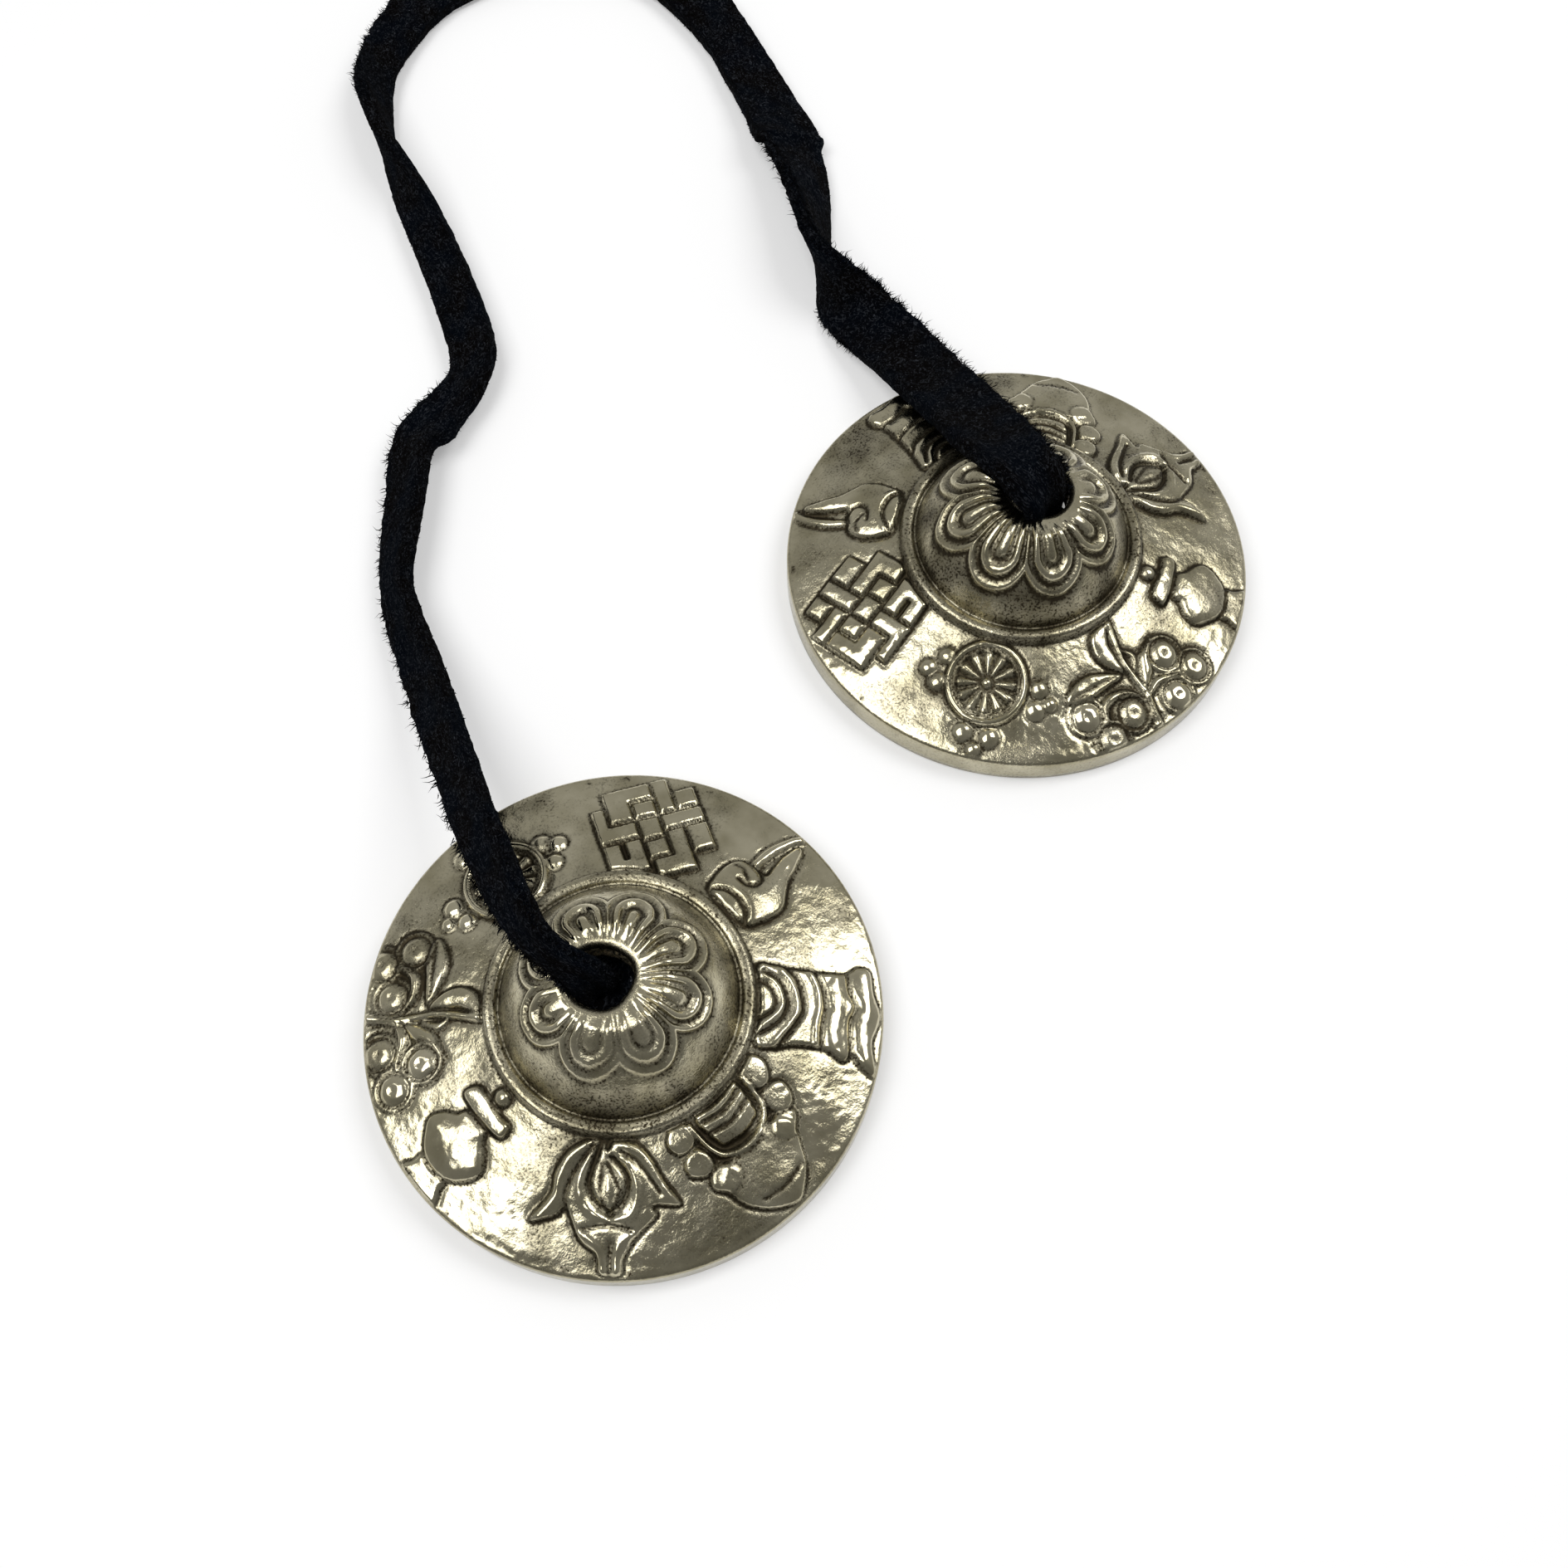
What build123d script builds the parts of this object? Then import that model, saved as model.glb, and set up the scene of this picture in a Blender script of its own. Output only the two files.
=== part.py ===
from build123d import *
import math
import os

# Tingsha: two cast bronze hand cymbals on one suede strap, lying on a table.
# Millimetres, +Z up, z = 0 on the table. The origin is midway between the two
# rims, and +X runs from the left cymbal's centre to the right one's.

# Cymbal casting
rim_diameter = 65.0
rim_height = 4.2            # the upright wall of the rim
rim_round = 0.6             # worn upper edge of the rim
rim_break = 0.3             # broken lower edge of the rim
rest_land = 3.8             # flat ring that the cymbal stands on
field_height = 9.0          # top of the sloping field, where it meets the bead
field_wall = 3.8
bead_diameter = 31.4        # centre line of the raised ring round the boss
bead_width = 1.9
bead_height = 0.9           # how far its sides stand above the field
flank_step = 0.7            # from the field up to the foot of the boss
flank_bulge = 1.3           # how far the boss swells past a straight cone
crown_height = 19.5
crown_land = 2.0            # flat top round the hole, before its offset
boss_wall = 3.9             # from the crown and the flank to the hollow below
hollow_bulge = 1.2
hole_diameter = 9.0
hole_round = 0.5
cymbal_spacing = 84.75      # between the two rim centres
left_hole_offset = (-0.8, 0.9)      # the holes were drilled by hand, off centre
right_hole_offset = (0.7, -0.8)

# Raised ornament, cast on the same pattern for both discs and turned with it: eight
# signs on the field and a rosette on the boss
relief_height = 0.7         # how far the outlines are lifted above the casting
relief_margin = 0.35        # from the signs to the bead and the rim
strap_margin = 0.6          # from the rosette to the strap that spins in its hole
ring_width = 1.2
dome_height = 0.75          # the most that a dome stands above the field
dome_share = 0.6            # a small dome's height as a part of its radius
dome_root = 0.8             # how deep a dome is set into the field
petal_count = 8
petal_start = 22.5          # degrees
petal_foot = (5.6, 1.9)     # distance from the axis and radius of a petal's two ends
petal_tip = (8.6, 2.8)
petal_ridge = 0.7
petal_groove = 0.55
left_turn = 0.0             # how the pattern is turned on each disc, in degrees
right_turn = 122.0

# Each sign has its angle on the pattern, its distance from the axis and the tilt of its
# own axes. Blades are outlines, rings are (across, out, half width, half height) and domes
# are (across, out, radius), where across runs clockwise and out runs away from the axis.
fruit_sprig = {
    "angle": 129.7, "radius": 25.5, "tilt": 0.0, "rings": [],
    "blades": [
        [
            (-1.2, 6.5), (0.2, 6.5), (-0.4, 2.0), (-0.1, -3.2),
            (-0.9, -8.2), (-2.3, -8.2), (-1.2, -3.2), (-1.7, 2.0),
        ],
        [(-1.4, 2.9), (-3.6, 2.1), (-7.0, 2.2), (-6.6, 1.4), (-3.6, 1.1), (-1.4, 1.9)],
        [(-0.6, 1.4), (1.6, 0.9), (3.8, 1.3), (5.3, 3.2), (5.6, 1.2), (3.8, -0.4), (1.6, -0.4)],
        [(-1.2, 1.2), (-1.9, -1.4), (-3.6, -3.6), (-5.8, -4.2), (-4.0, -2.0), (-3.2, -0.4)],
        [(-0.4, -1.4), (4.0, -1.2), (9.1, -2.2), (7.0, -3.9), (4.0, -3.8), (2.2, -2.9)],
        [(-0.2, -2.4), (1.7, -3.6), (2.3, -5.3), (1.6, -7.2), (-1.2, -8.2), (0.0, -5.6)],
    ],
    "domes": [
        (-5.2, 4.5, 1.95), (2.0, 3.5, 1.95), (6.2, 5.0, 1.95),
        (7.8, 0.8, 1.95), (-6.7, -1.2, 1.95), (-9.7, 2.2, 1.95),
    ],
}
jewel_wheel = {
    "angle": 81.7, "radius": 23.2, "tilt": 0.0, "blades": [],
    "rings": [(-0.1, -0.65, 5.65, 5.65)],
    "domes": [
        (-0.1, -0.65, 3.7), (-2.2, 6.2, 1.4), (1.3, 6.2, 1.4), (-0.4, 8.1, 1.2), (-7.2, 1.0, 1.3),
        (-7.2, -1.7, 1.3), (-9.1, -0.3, 1.0), (6.7, 0.6, 1.3), (8.2, -1.3, 1.2), (6.2, -3.3, 1.3),
    ],
}
endless_knot = {
    "angle": 29.5, "radius": 24.3, "tilt": 28.5, "rings": [], "domes": [],
    "blades": [
        [(-5.9, 1.8), (-2.9, 1.8), (-2.9, 4.6), (0.4, 4.6), (0.4, 7.0), (-5.9, 7.0)],
        [(-2.5, 1.8), (0.3, 1.8), (0.3, 4.2), (-2.5, 4.2)],
        [(0.8, 1.8), (2.8, 1.8), (2.8, 7.0), (0.8, 7.0)],
        [(3.2, 1.8), (5.9, 1.8), (5.9, 4.6), (3.2, 4.6)],
        [(-7.9, -0.9), (-2.9, -0.9), (-2.9, 1.4), (-6.2, 1.4), (-6.2, 4.6), (-7.9, 4.6)],
        [(-2.5, -1.7), (0.2, -1.7), (0.2, 1.4), (-2.5, 1.4)],
        [(0.6, -0.9), (5.9, -0.9), (5.9, 1.4), (0.6, 1.4)],
        [
            (-7.8, -6.2), (-2.9, -6.2), (-2.9, -1.3), (-5.1, -1.3),
            (-5.1, -4.0), (-5.6, -4.0), (-5.6, -1.3), (-7.8, -1.3),
        ],
        [(-2.5, -4.8), (0.2, -4.8), (0.2, -2.1), (-2.5, -2.1)],
        [(-2.2, -7.8), (2.8, -7.8), (2.8, -1.3), (0.6, -1.3), (0.6, -5.2), (-2.2, -5.2)],
        [(3.2, -5.3), (5.9, -5.3), (5.9, -1.3), (3.2, -1.3)],
    ],
}
conch = {
    "angle": -7.1, "radius": 24.3, "tilt": 0.0, "rings": [],
    "blades": [
        [
            (4.9, -2.6), (4.6, -0.8), (2.6, 2.0), (0.9, 5.9),
            (-0.3, 6.5), (-0.5, 4.0), (-0.1, 1.6), (0.8, -0.8),
        ],
        [(-2.4, 0.3), (-2.8, 2.6), (-1.9, 6.4), (-1.1, 7.4), (-0.5, 7.2), (-1.1, 4.6), (-1.3, 0.5)],
        [(-2.7, -6.6), (3.3, -6.6), (2.2, -5.2), (0.4, -4.6), (-1.4, -5.0)],
    ],
    "domes": [(0.4, -3.2, 4.2)],
}
banner = {
    "angle": -53.1, "radius": 24.6, "tilt": 0.0, "rings": [], "domes": [],
    "blades": [
        [(-4.6, -8.0), (4.2, -8.0), (5.2, -5.5), (4.8, -4.3), (0.0, -2.7), (-5.1, -4.4), (-5.2, -6.0)],
        [(-5.0, -3.6), (0.0, -2.0), (4.7, -3.5), (4.6, -0.5), (1.5, -0.5), (-2.5, -0.2), (-4.9, -1.3)],
        [(-4.9, -0.5), (-2.5, 0.5), (1.5, 0.3), (4.7, 0.4), (5.6, 2.6), (2.0, 3.0), (-5.3, 2.7)],
        [
            (-5.4, 3.4), (0.3, 4.4), (2.0, 3.7), (5.2, 4.0), (7.2, 6.5),
            (4.0, 6.1), (0.0, 7.2), (-5.4, 6.3), (-6.1, 5.2),
        ],
    ],
}
parasol = {
    "angle": 263.0, "radius": 24.0, "tilt": 0.0, "rings": [],
    "blades": [
        [(0.6, 7.8), (-2.2, 6.2), (-3.8, 4.4), (-4.6, 2.4), (-2.6, 0.5), (3.2, 0.5), (6.0, 2.4), (4.6, 5.4)],
        [
            (-4.4, -6.4), (-4.2, -3.4), (-2.9, -1.3), (0.2, -0.4), (3.3, -1.2), (4.7, -3.4), (4.7, -6.4),
            (3.9, -6.4), (3.8, -3.6), (2.6, -2.1), (0.2, -1.3), (-2.2, -2.2), (-3.4, -3.6), (-3.6, -6.4),
        ],
        [(-2.6, -4.2), (0.2, -3.4), (3.0, -4.2), (3.0, -3.2), (0.2, -2.0), (-2.6, -3.2)],
        [(-2.6, -6.8), (0.2, -6.0), (3.0, -6.8), (3.0, -5.0), (0.2, -4.2), (-2.6, -5.0)],
    ],
    "domes": [
        (-4.4, 0.5, 1.8), (-6.0, -2.4, 1.6), (-6.3, -6.0, 1.9),
        (5.4, 0.3, 1.8), (6.5, -3.1, 1.6), (6.6, -6.6, 1.8),
    ],
}
lotus = {
    "angle": 215.7, "radius": 24.0, "tilt": 0.0,
    "rings": [(-0.8, -1.7, 3.4, 3.7)],
    "blades": [
        [
            (-2.5, 7.3), (-2.8, 5.8), (-4.0, 3.6), (-6.3, 1.0), (-5.8, -0.3), (-9.0, -0.7), (-7.0, -3.0),
            (-5.5, -5.2), (-3.5, -6.7), (-1.0, -7.0), (0.0, -5.6), (0.8, -7.1), (2.4, -6.9), (4.6, -5.6),
            (5.9, -3.4), (6.3, -1.4), (8.6, 2.0), (5.2, 1.5), (4.4, 0.6), (2.6, 4.0), (0.5, 5.6), (-0.1, 7.3),
        ],
    ],
    "domes": [(-0.7, -2.0, 1.7)],
}
vase = {
    "angle": 171.9, "radius": 24.7, "tilt": 0.0, "rings": [],
    "blades": [
        [(-3.2, 0.2), (-1.3, -1.6), (-0.7, -3.3), (2.8, -3.3), (3.4, -1.6), (4.8, 0.2)],
        [
            (-2.9, -4.0), (-2.2, -3.2), (3.0, -3.1), (4.7, -3.8),
            (3.9, -5.6), (1.6, -5.6), (-0.8, -5.2), (-2.4, -5.2),
        ],
        [(-1.9, 3.9), (3.0, 3.9), (4.0, 7.0), (-2.4, 7.0)],
    ],
    "domes": [(0.8, 1.0, 4.3), (0.7, -6.6, 1.1)],
}
signs = [fruit_sprig, jewel_wheel, endless_knot, conch, banner, parasol, lotus, vase]

# Suede strap
strap_width = 11.0
strap_thickness = 2.6
fold_depth = 4.0            # the strap is folded where it goes through a hole
fold_gap = 1.0              # between the fold's edges and the hole
fold_round = 1.4
table_gap = 0.05            # under the strap where it lies on the table
crown_gap = 0.4             # between the crown and the strap that leaves it
run_share = 0.45            # part of the shorter run that an arc takes up

# The strap's rise out of a hole, as (distance from the hole, height above the
# crown), and its way over the table, as (x, y) from the left disc to the right
left_heading = 72.0
right_heading = 63.0
rise = [(0.0, 2.9), (2.4, 5.1), (8.5, 4.1), (17.0, -2.3), (28.0, -8.7), (39.5, -14.2)]
landing = 49.0              # distance from the hole where the strap is down
left_settled = 59.0         # end of its straight start on the table
right_settled = 62.0
left_leg_route = [
    (-17.5, 66.5), (-6.5, 73.8), (3.5, 81.5), (14.5, 84.4), (23.5, 88.5), (30.0, 98.7),
    (37.3, 113.5), (44.5, 126.3), (53.5, 137.3),
]
loop_route = [(66.5, 143.2), (81.5, 143.4), (95.5, 136.2), (103.0, 122.5), (101.8, 107.0)]
right_leg_route = [(94.6, 92.0), (86.6, 78.4), (78.6, 66.6)]

# Stopper knot under each boss
knot_overlap = 2.0          # how far it reaches past the hole all round
knot_height = 7.6
knot_gap = 0.35             # between the knot and the hollow above it
knot_bulge = 0.9
knot_neck = 0.9             # how far its flat top stays inside the hole
tail_length = 9.5
tail_width = 8.0
tail_round = 0.8
tail_slope = 38.0           # degrees below the level

rim_radius = rim_diameter / 2
bead_radius = bead_diameter / 2
bead_inner = bead_radius - bead_width / 2
bead_outer = bead_radius + bead_width / 2
field_slope = math.atan2(field_height - rim_height, rim_radius - bead_outer)
hole_radius = hole_diameter / 2
hollow_height = crown_height - boss_wall
knot_top = hollow_height - knot_gap
strap_foot = crown_height + crown_gap
strap_level = table_gap + strap_thickness / 2
half_spacing = cymbal_spacing / 2
left_hole = Vector(left_hole_offset[0] - half_spacing, left_hole_offset[1])
right_hole = Vector(right_hole_offset[0] + half_spacing, right_hole_offset[1])


def bulged_arc(start, end, bulge):
    """An arc from start to end that swells by bulge to the right of the way between them."""
    run_x = end[0] - start[0]
    run_z = end[1] - start[1]
    run = math.hypot(run_x, run_z)
    middle_x = (start[0] + end[0]) / 2 + bulge * run_z / run
    middle_z = (start[1] + end[1]) / 2 - bulge * run_x / run
    return ThreePointArc(start, (middle_x, middle_z), end)


def round_edges(part, radius, height):
    """The circles of this radius at this height."""
    circles = part.edges().filter_by(GeomType.CIRCLE)
    at_height = [c for c in circles if math.isclose(c.center().Z, height, abs_tol=1e-6)]
    return [c for c in at_height if math.isclose(c.radius, radius)]


def sign_place(sign, turn):
    """Where a sign's own axes lie, seen from above: x across and y outwards."""
    return Rot(0, 0, sign["angle"] + turn) * Pos(sign["radius"], 0) * Rot(0, 0, sign["tilt"] - 90)


def make_petal(inset):
    """A petal's outline: the hull of its two round ends."""
    foot = Pos(petal_foot[0], 0) * Circle(petal_foot[1] - inset)
    tip = Pos(petal_tip[0], 0) * Circle(petal_tip[1] - inset)
    return make_hull(foot.edges() + tip.edges())


def make_outline(turn, hole_offset):
    """The outlines of the signs and of the rosette, seen from above."""
    petal = make_petal(0) - make_petal(petal_ridge) + make_petal(petal_ridge + petal_groove)
    with BuildSketch() as outline:
        for sign in signs:
            place = sign_place(sign, turn)
            with Locations(place):
                for blade in sign["blades"]:
                    Polygon(*blade)
            for across, out, half_width, half_height in sign["rings"]:
                with Locations(place * Pos(across, out)):
                    Ellipse(half_width, half_height)
                    Ellipse(half_width - ring_width, half_height - ring_width, mode=Mode.SUBTRACT)
        Circle(rim_radius - rim_round - relief_margin, mode=Mode.INTERSECT)
        Circle(bead_outer + relief_margin, mode=Mode.SUBTRACT)
        for number in range(petal_count):
            add(Rot(0, 0, petal_start + turn + number * 360 / petal_count) * petal)
        with Locations(hole_offset):
            Circle(strap_width / 2 + strap_margin, mode=Mode.SUBTRACT)
    return outline.sketch


def make_domes(turn):
    """The round fruits, jewels and bodies of the signs, each a ball's cap set square to the field."""
    domes = []
    for sign in signs:
        for across, out, radius in sign["domes"]:
            middle = (sign_place(sign, turn) * Pos(across, out)).position
            distance = math.hypot(middle.X, middle.Y)
            level = rim_height + (rim_radius - distance) * math.tan(field_slope)
            height = min(dome_height, dome_share * radius)
            ball = (radius**2 + height**2) / (2 * height)
            foot = math.degrees(math.asin((ball - height - dome_root) / ball))
            cap = Sphere(ball, arc_size1=foot, align=(Align.CENTER, Align.CENTER, Align.MIN))
            bearing = math.degrees(math.atan2(middle.Y, middle.X))
            place = Rot(0, 0, bearing) * Pos(distance, 0, level) * Rot(0, math.degrees(field_slope), 0)
            domes.append(place * Pos(0, 0, -dome_root) * cap)
    return domes


def make_cymbal(centre_x, hole_offset, turn):
    """One casting: rim, sloping field, bead, boss and hollow, drilled through the crown and ornamented."""
    crown_radius = hole_radius + crown_land
    bead_top = field_height + bead_height + bead_width / 2
    flank_foot = (bead_inner, field_height + flank_step)
    under_field = field_height - field_wall
    hollow_foot = (bead_inner - boss_wall / 2, under_field + boss_wall / 2)
    hollow_top = (crown_radius - boss_wall / 2, hollow_height)
    with BuildPart() as cymbal:
        with BuildSketch(Plane.XZ):
            with BuildLine():
                Line((0, hollow_height), (0, crown_height))
                Line((0, crown_height), (crown_radius, crown_height))
                bulged_arc(flank_foot, (crown_radius, crown_height), flank_bulge)
                ThreePointArc(flank_foot, (bead_radius, bead_top), (bead_outer, field_height))
                Polyline(
                    (bead_outer, field_height), (rim_radius, rim_height), (rim_radius, 0),
                    (rim_radius - rest_land, 0), (bead_outer, under_field), hollow_foot,
                )
                bulged_arc(hollow_foot, hollow_top, hollow_bulge)
                Line(hollow_top, (0, hollow_height))
            make_face()
        revolve(axis=Axis.Z)
        fillet(round_edges(cymbal, rim_radius, rim_height), rim_round)
        chamfer(round_edges(cymbal, rim_radius, 0), rim_break)
        with Locations((hole_offset[0], hole_offset[1], crown_height)):
            Hole(hole_radius)
        fillet(round_edges(cymbal, hole_radius, crown_height), hole_round)
    casting = cymbal.part
    lifted = casting.moved(Location((0, 0, relief_height)))
    raised = extrude(make_outline(turn, hole_offset), amount=crown_height + relief_height) & lifted
    casting = casting + [raised, *make_domes(turn)]
    print(f"casting has {len(casting.solids())} solid and {len(casting.faces())} faces")
    return casting.moved(Location((centre_x, 0, 0)))


def corner_radii(points):
    """The arc at each inner point is as large as its two runs allow."""
    radii = []
    for before, here, after in zip(points, points[1:], points[2:]):
        first = here - before
        second = after - here
        half_turn = math.radians(first.get_angle(second)) / 2
        radii.append(run_share * min(first.length, second.length) / math.tan(half_turn))
    return radii


def rise_points(hole, heading, settled):
    """The strap's corners from the crown over boss and rim to the end of its start on the table."""
    ahead = Vector(1, 0).rotate(Axis.Z, heading)
    profile = [(0.0, strap_foot)]
    profile += [(along, crown_height + above) for along, above in rise]
    profile += [(landing, strap_level), (settled, strap_level)]
    return [hole + ahead * along + Vector(0, 0, height) for along, height in profile]


def make_stretch(route, radii, first_run, last_run):
    """A flat strip between the middles of two runs, or from or to an end of the route."""
    last = len(route) - 2
    start = route[0] if first_run == 0 else (route[first_run] + route[first_run + 1]) / 2
    end = route[-1] if last_run == last else (route[last_run] + route[last_run + 1]) / 2
    path = FilletPolyline(start, *route[first_run + 1 : last_run + 1], end, radius=radii[first_run:last_run])
    ahead = path % 1 if first_run == 0 else path % 0    # the first start points straight up
    across = ahead.cross(Vector(0, 0, 1))
    section = Plane(origin=start, x_dir=across, z_dir=path % 0) * Rectangle(strap_width, strap_thickness)
    strip = sweep(section, path=path)
    filled = strip.volume / (strap_width * strap_thickness * path.length)
    print(f"strip {path.length:.2f} mm, volume over section times length {filled:.5f}")
    return strip, path.length


def make_strap_end(hole, heading):
    """The folded stretch that goes up through the hole, from the knot to the crown."""
    fold_width = hole_diameter - 2 * fold_gap
    with BuildPart() as end:
        with BuildSketch(Plane.XY.offset(knot_top)):
            RectangleRounded(fold_depth, fold_width, fold_round)
        extrude(amount=strap_foot - knot_top)
    return end.part.rotate(Axis.Z, heading).moved(Location(hole))


def make_knot(hole, heading):
    """The stopper knot in the hollow under the boss, with its short tail."""
    knot_foot = knot_top - knot_height
    waist = knot_top - knot_height / 2
    belly = (hole_radius + knot_overlap, waist)
    neck_radius = hole_radius - knot_neck
    slope = math.radians(tail_slope)
    tail_plane = Plane((0, 0, waist), x_dir=(0, 1, 0), z_dir=(math.cos(slope), 0, -math.sin(slope)))
    with BuildPart() as knot:
        with BuildSketch(Plane.XZ):
            with BuildLine():
                Polyline((neck_radius, knot_foot), (0, knot_foot), (0, knot_top), (neck_radius, knot_top))
                bulged_arc((neck_radius, knot_foot), belly, knot_bulge)
                bulged_arc(belly, (neck_radius, knot_top), knot_bulge)
            make_face()
        revolve(axis=Axis.Z)
        with BuildSketch(tail_plane):
            RectangleRounded(tail_width, strap_thickness, tail_round)
        extrude(amount=tail_length)
    return knot.part.rotate(Axis.Z, heading).moved(Location(hole))


left_rise = rise_points(left_hole, left_heading, left_settled)
right_rise = rise_points(right_hole, right_heading, right_settled)
table_route = left_leg_route + loop_route + right_leg_route
route = left_rise + [Vector(x, y, strap_level) for x, y in table_route] + right_rise[::-1]
radii = corner_radii(route)
print("radii", [round(radius, 1) for radius in radii])

table_start = len(left_rise)
left_landed = table_start - 2                       # the run after each landing
right_landed = table_start + len(table_route)
loop_first = table_start + len(left_leg_route) - 1  # the runs into the loop and out of it
loop_last = loop_first + len(loop_route)
cuts = [0, left_landed, loop_first, loop_last, right_landed, len(route) - 2]
stretch_names = ["left_strap_rise", "left_strap_leg", "strap_loop", "right_strap_leg", "right_strap_rise"]

nodes = {
    "left_cymbal": make_cymbal(-half_spacing, left_hole_offset, left_turn),
    "right_cymbal": make_cymbal(half_spacing, right_hole_offset, right_turn),
    "left_strap_end": make_strap_end(left_hole, left_heading),
    "right_strap_end": make_strap_end(right_hole, right_heading),
    "left_knot": make_knot(left_hole, left_heading),
    "right_knot": make_knot(right_hole, right_heading),
}
strap_length = 0.0
for name, first_run, last_run in zip(stretch_names, cuts, cuts[1:]):
    nodes[name], length = make_stretch(route, radii, first_run, last_run)
    strap_length += length
print(f"strap from crown to crown {strap_length:.1f} mm")

os.makedirs("parts", exist_ok=True)
for name, solid in nodes.items():
    solid.label = name
    export_step(solid, f"parts/{name}.step")
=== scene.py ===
import bpy
import itertools
import math
import numpy as np
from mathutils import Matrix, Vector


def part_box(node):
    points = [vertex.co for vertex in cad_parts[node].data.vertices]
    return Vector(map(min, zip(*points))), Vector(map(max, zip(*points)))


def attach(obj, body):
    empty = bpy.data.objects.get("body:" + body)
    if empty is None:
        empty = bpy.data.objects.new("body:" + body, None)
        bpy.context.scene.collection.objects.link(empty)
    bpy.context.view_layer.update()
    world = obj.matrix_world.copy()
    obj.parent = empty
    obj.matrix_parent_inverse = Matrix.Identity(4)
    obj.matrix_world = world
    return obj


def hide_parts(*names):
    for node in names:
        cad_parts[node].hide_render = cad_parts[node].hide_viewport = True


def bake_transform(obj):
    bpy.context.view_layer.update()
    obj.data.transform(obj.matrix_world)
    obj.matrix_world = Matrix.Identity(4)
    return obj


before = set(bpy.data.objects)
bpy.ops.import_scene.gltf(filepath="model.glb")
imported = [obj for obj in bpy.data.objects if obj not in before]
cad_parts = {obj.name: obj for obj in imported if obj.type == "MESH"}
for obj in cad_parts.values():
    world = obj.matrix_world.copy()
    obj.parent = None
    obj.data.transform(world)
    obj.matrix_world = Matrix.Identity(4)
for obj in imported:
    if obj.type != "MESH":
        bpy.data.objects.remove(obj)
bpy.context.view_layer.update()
print("frame loaded")

mm = 0.001  # sizes below are in millimetres, meshes in metres
chance = np.random.default_rng(8)  # one seed for every loose fibre


# Helpers for colours, nodes, objects, vectors and noise

def linear(hexColour):
    parts = [int(hexColour[i:i + 2], 16) / 255 for i in (1, 3, 5)]
    return [c / 12.92 if c <= 0.04045 else ((c + 0.055) / 1.055) ** 2.4 for c in parts] + [1.0]


def addNode(tree, kind, inputs=None, **settings):
    node = tree.nodes.new("ShaderNode" + kind)
    for name, value in settings.items():
        setattr(node, name, value)
    for name, value in (inputs or {}).items():
        if isinstance(value, bpy.types.NodeSocket):
            tree.links.new(value, node.inputs[name])
        else:
            node.inputs[name].default_value = value
    return node


def mathNode(tree, operation, *values, clamp=False):
    return addNode(tree, "Math", dict(enumerate(values)), operation=operation, use_clamp=clamp).outputs[0]


def rangeNode(tree, value, fromMin, fromMax, toMin=0.0, toMax=1.0):
    limits = {"From Min": fromMin, "From Max": fromMax, "To Min": toMin, "To Max": toMax}
    return addNode(tree, "MapRange", {"Value": value, **limits}).outputs[0]


def noiseNode(tree, place, scale, detail, **more):
    inputs = {"Vector": place, "Scale": scale, "Detail": detail, **more}
    return addNode(tree, "TexNoise", inputs).outputs["Fac"]


def mixNode(tree, share, base, over):  # each colour is a hex code or another node's colour
    base, over = (linear(colour) if isinstance(colour, str) else colour for colour in (base, over))
    return addNode(tree, "Mix", {0: share, 6: base, 7: over}, data_type="RGBA").outputs[2]


def newMaterial(name):
    material = bpy.data.materials.new(name)
    material.use_nodes = True
    tree = material.node_tree
    tree.nodes.clear()
    return material, tree


def addObject(name, data):
    thing = bpy.data.objects.new(name, data)
    bpy.context.scene.collection.objects.link(thing)
    return thing


def gridFaces(rows, columns, closeRows, closeColumns, first=0):
    index = np.arange(rows * columns).reshape(rows, columns) + first
    right = np.roll(index, -1, 1)
    below = np.roll(index, -1, 0)
    corner = np.roll(right, -1, 0)
    faces = np.stack([index, right, corner, below], -1)
    faces = faces[: rows if closeRows else rows - 1, : columns if closeColumns else columns - 1]
    return faces.reshape(-1, 4).tolist()


def makePiece(name, points, faces, material, slot, uv=None, **attributes):
    mesh = bpy.data.meshes.new(name)
    mesh.from_pydata((points.reshape(-1, 3) * mm).tolist(), [], faces)
    mesh.polygons.foreach_set("use_smooth", np.ones(len(mesh.polygons), bool))
    if uv is not None:
        corners = np.zeros(len(mesh.loops), np.int32)
        mesh.loops.foreach_get("vertex_index", corners)
        layer = mesh.uv_layers.new(name="strap")
        layer.data.foreach_set("uv", uv[corners].astype(np.float32).ravel())
    for label, values in attributes.items():
        layer = mesh.attributes.new(label, "FLOAT", "POINT")
        layer.data.foreach_set("value", values.astype(np.float32).ravel())
    mesh.materials.append(material)
    mesh.update()
    piece = addObject(name, mesh)
    return piece


def cosSin(degrees):
    return math.cos(math.radians(degrees)), math.sin(math.radians(degrees))


def unitRows(rows):
    return rows / np.linalg.norm(rows, axis=1)[:, None]


def smoothStep(t):  # 0 up to 0, 1 from 1 on, level at both ends
    t = np.clip(t, 0, 1)
    return t * t * (3 - 2 * t)


def ramp(value, span):  # 0 at the span's start and 1 a width further on, or back where the width is negative
    start, width = span
    return smoothStep((value - start) / width)


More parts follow.
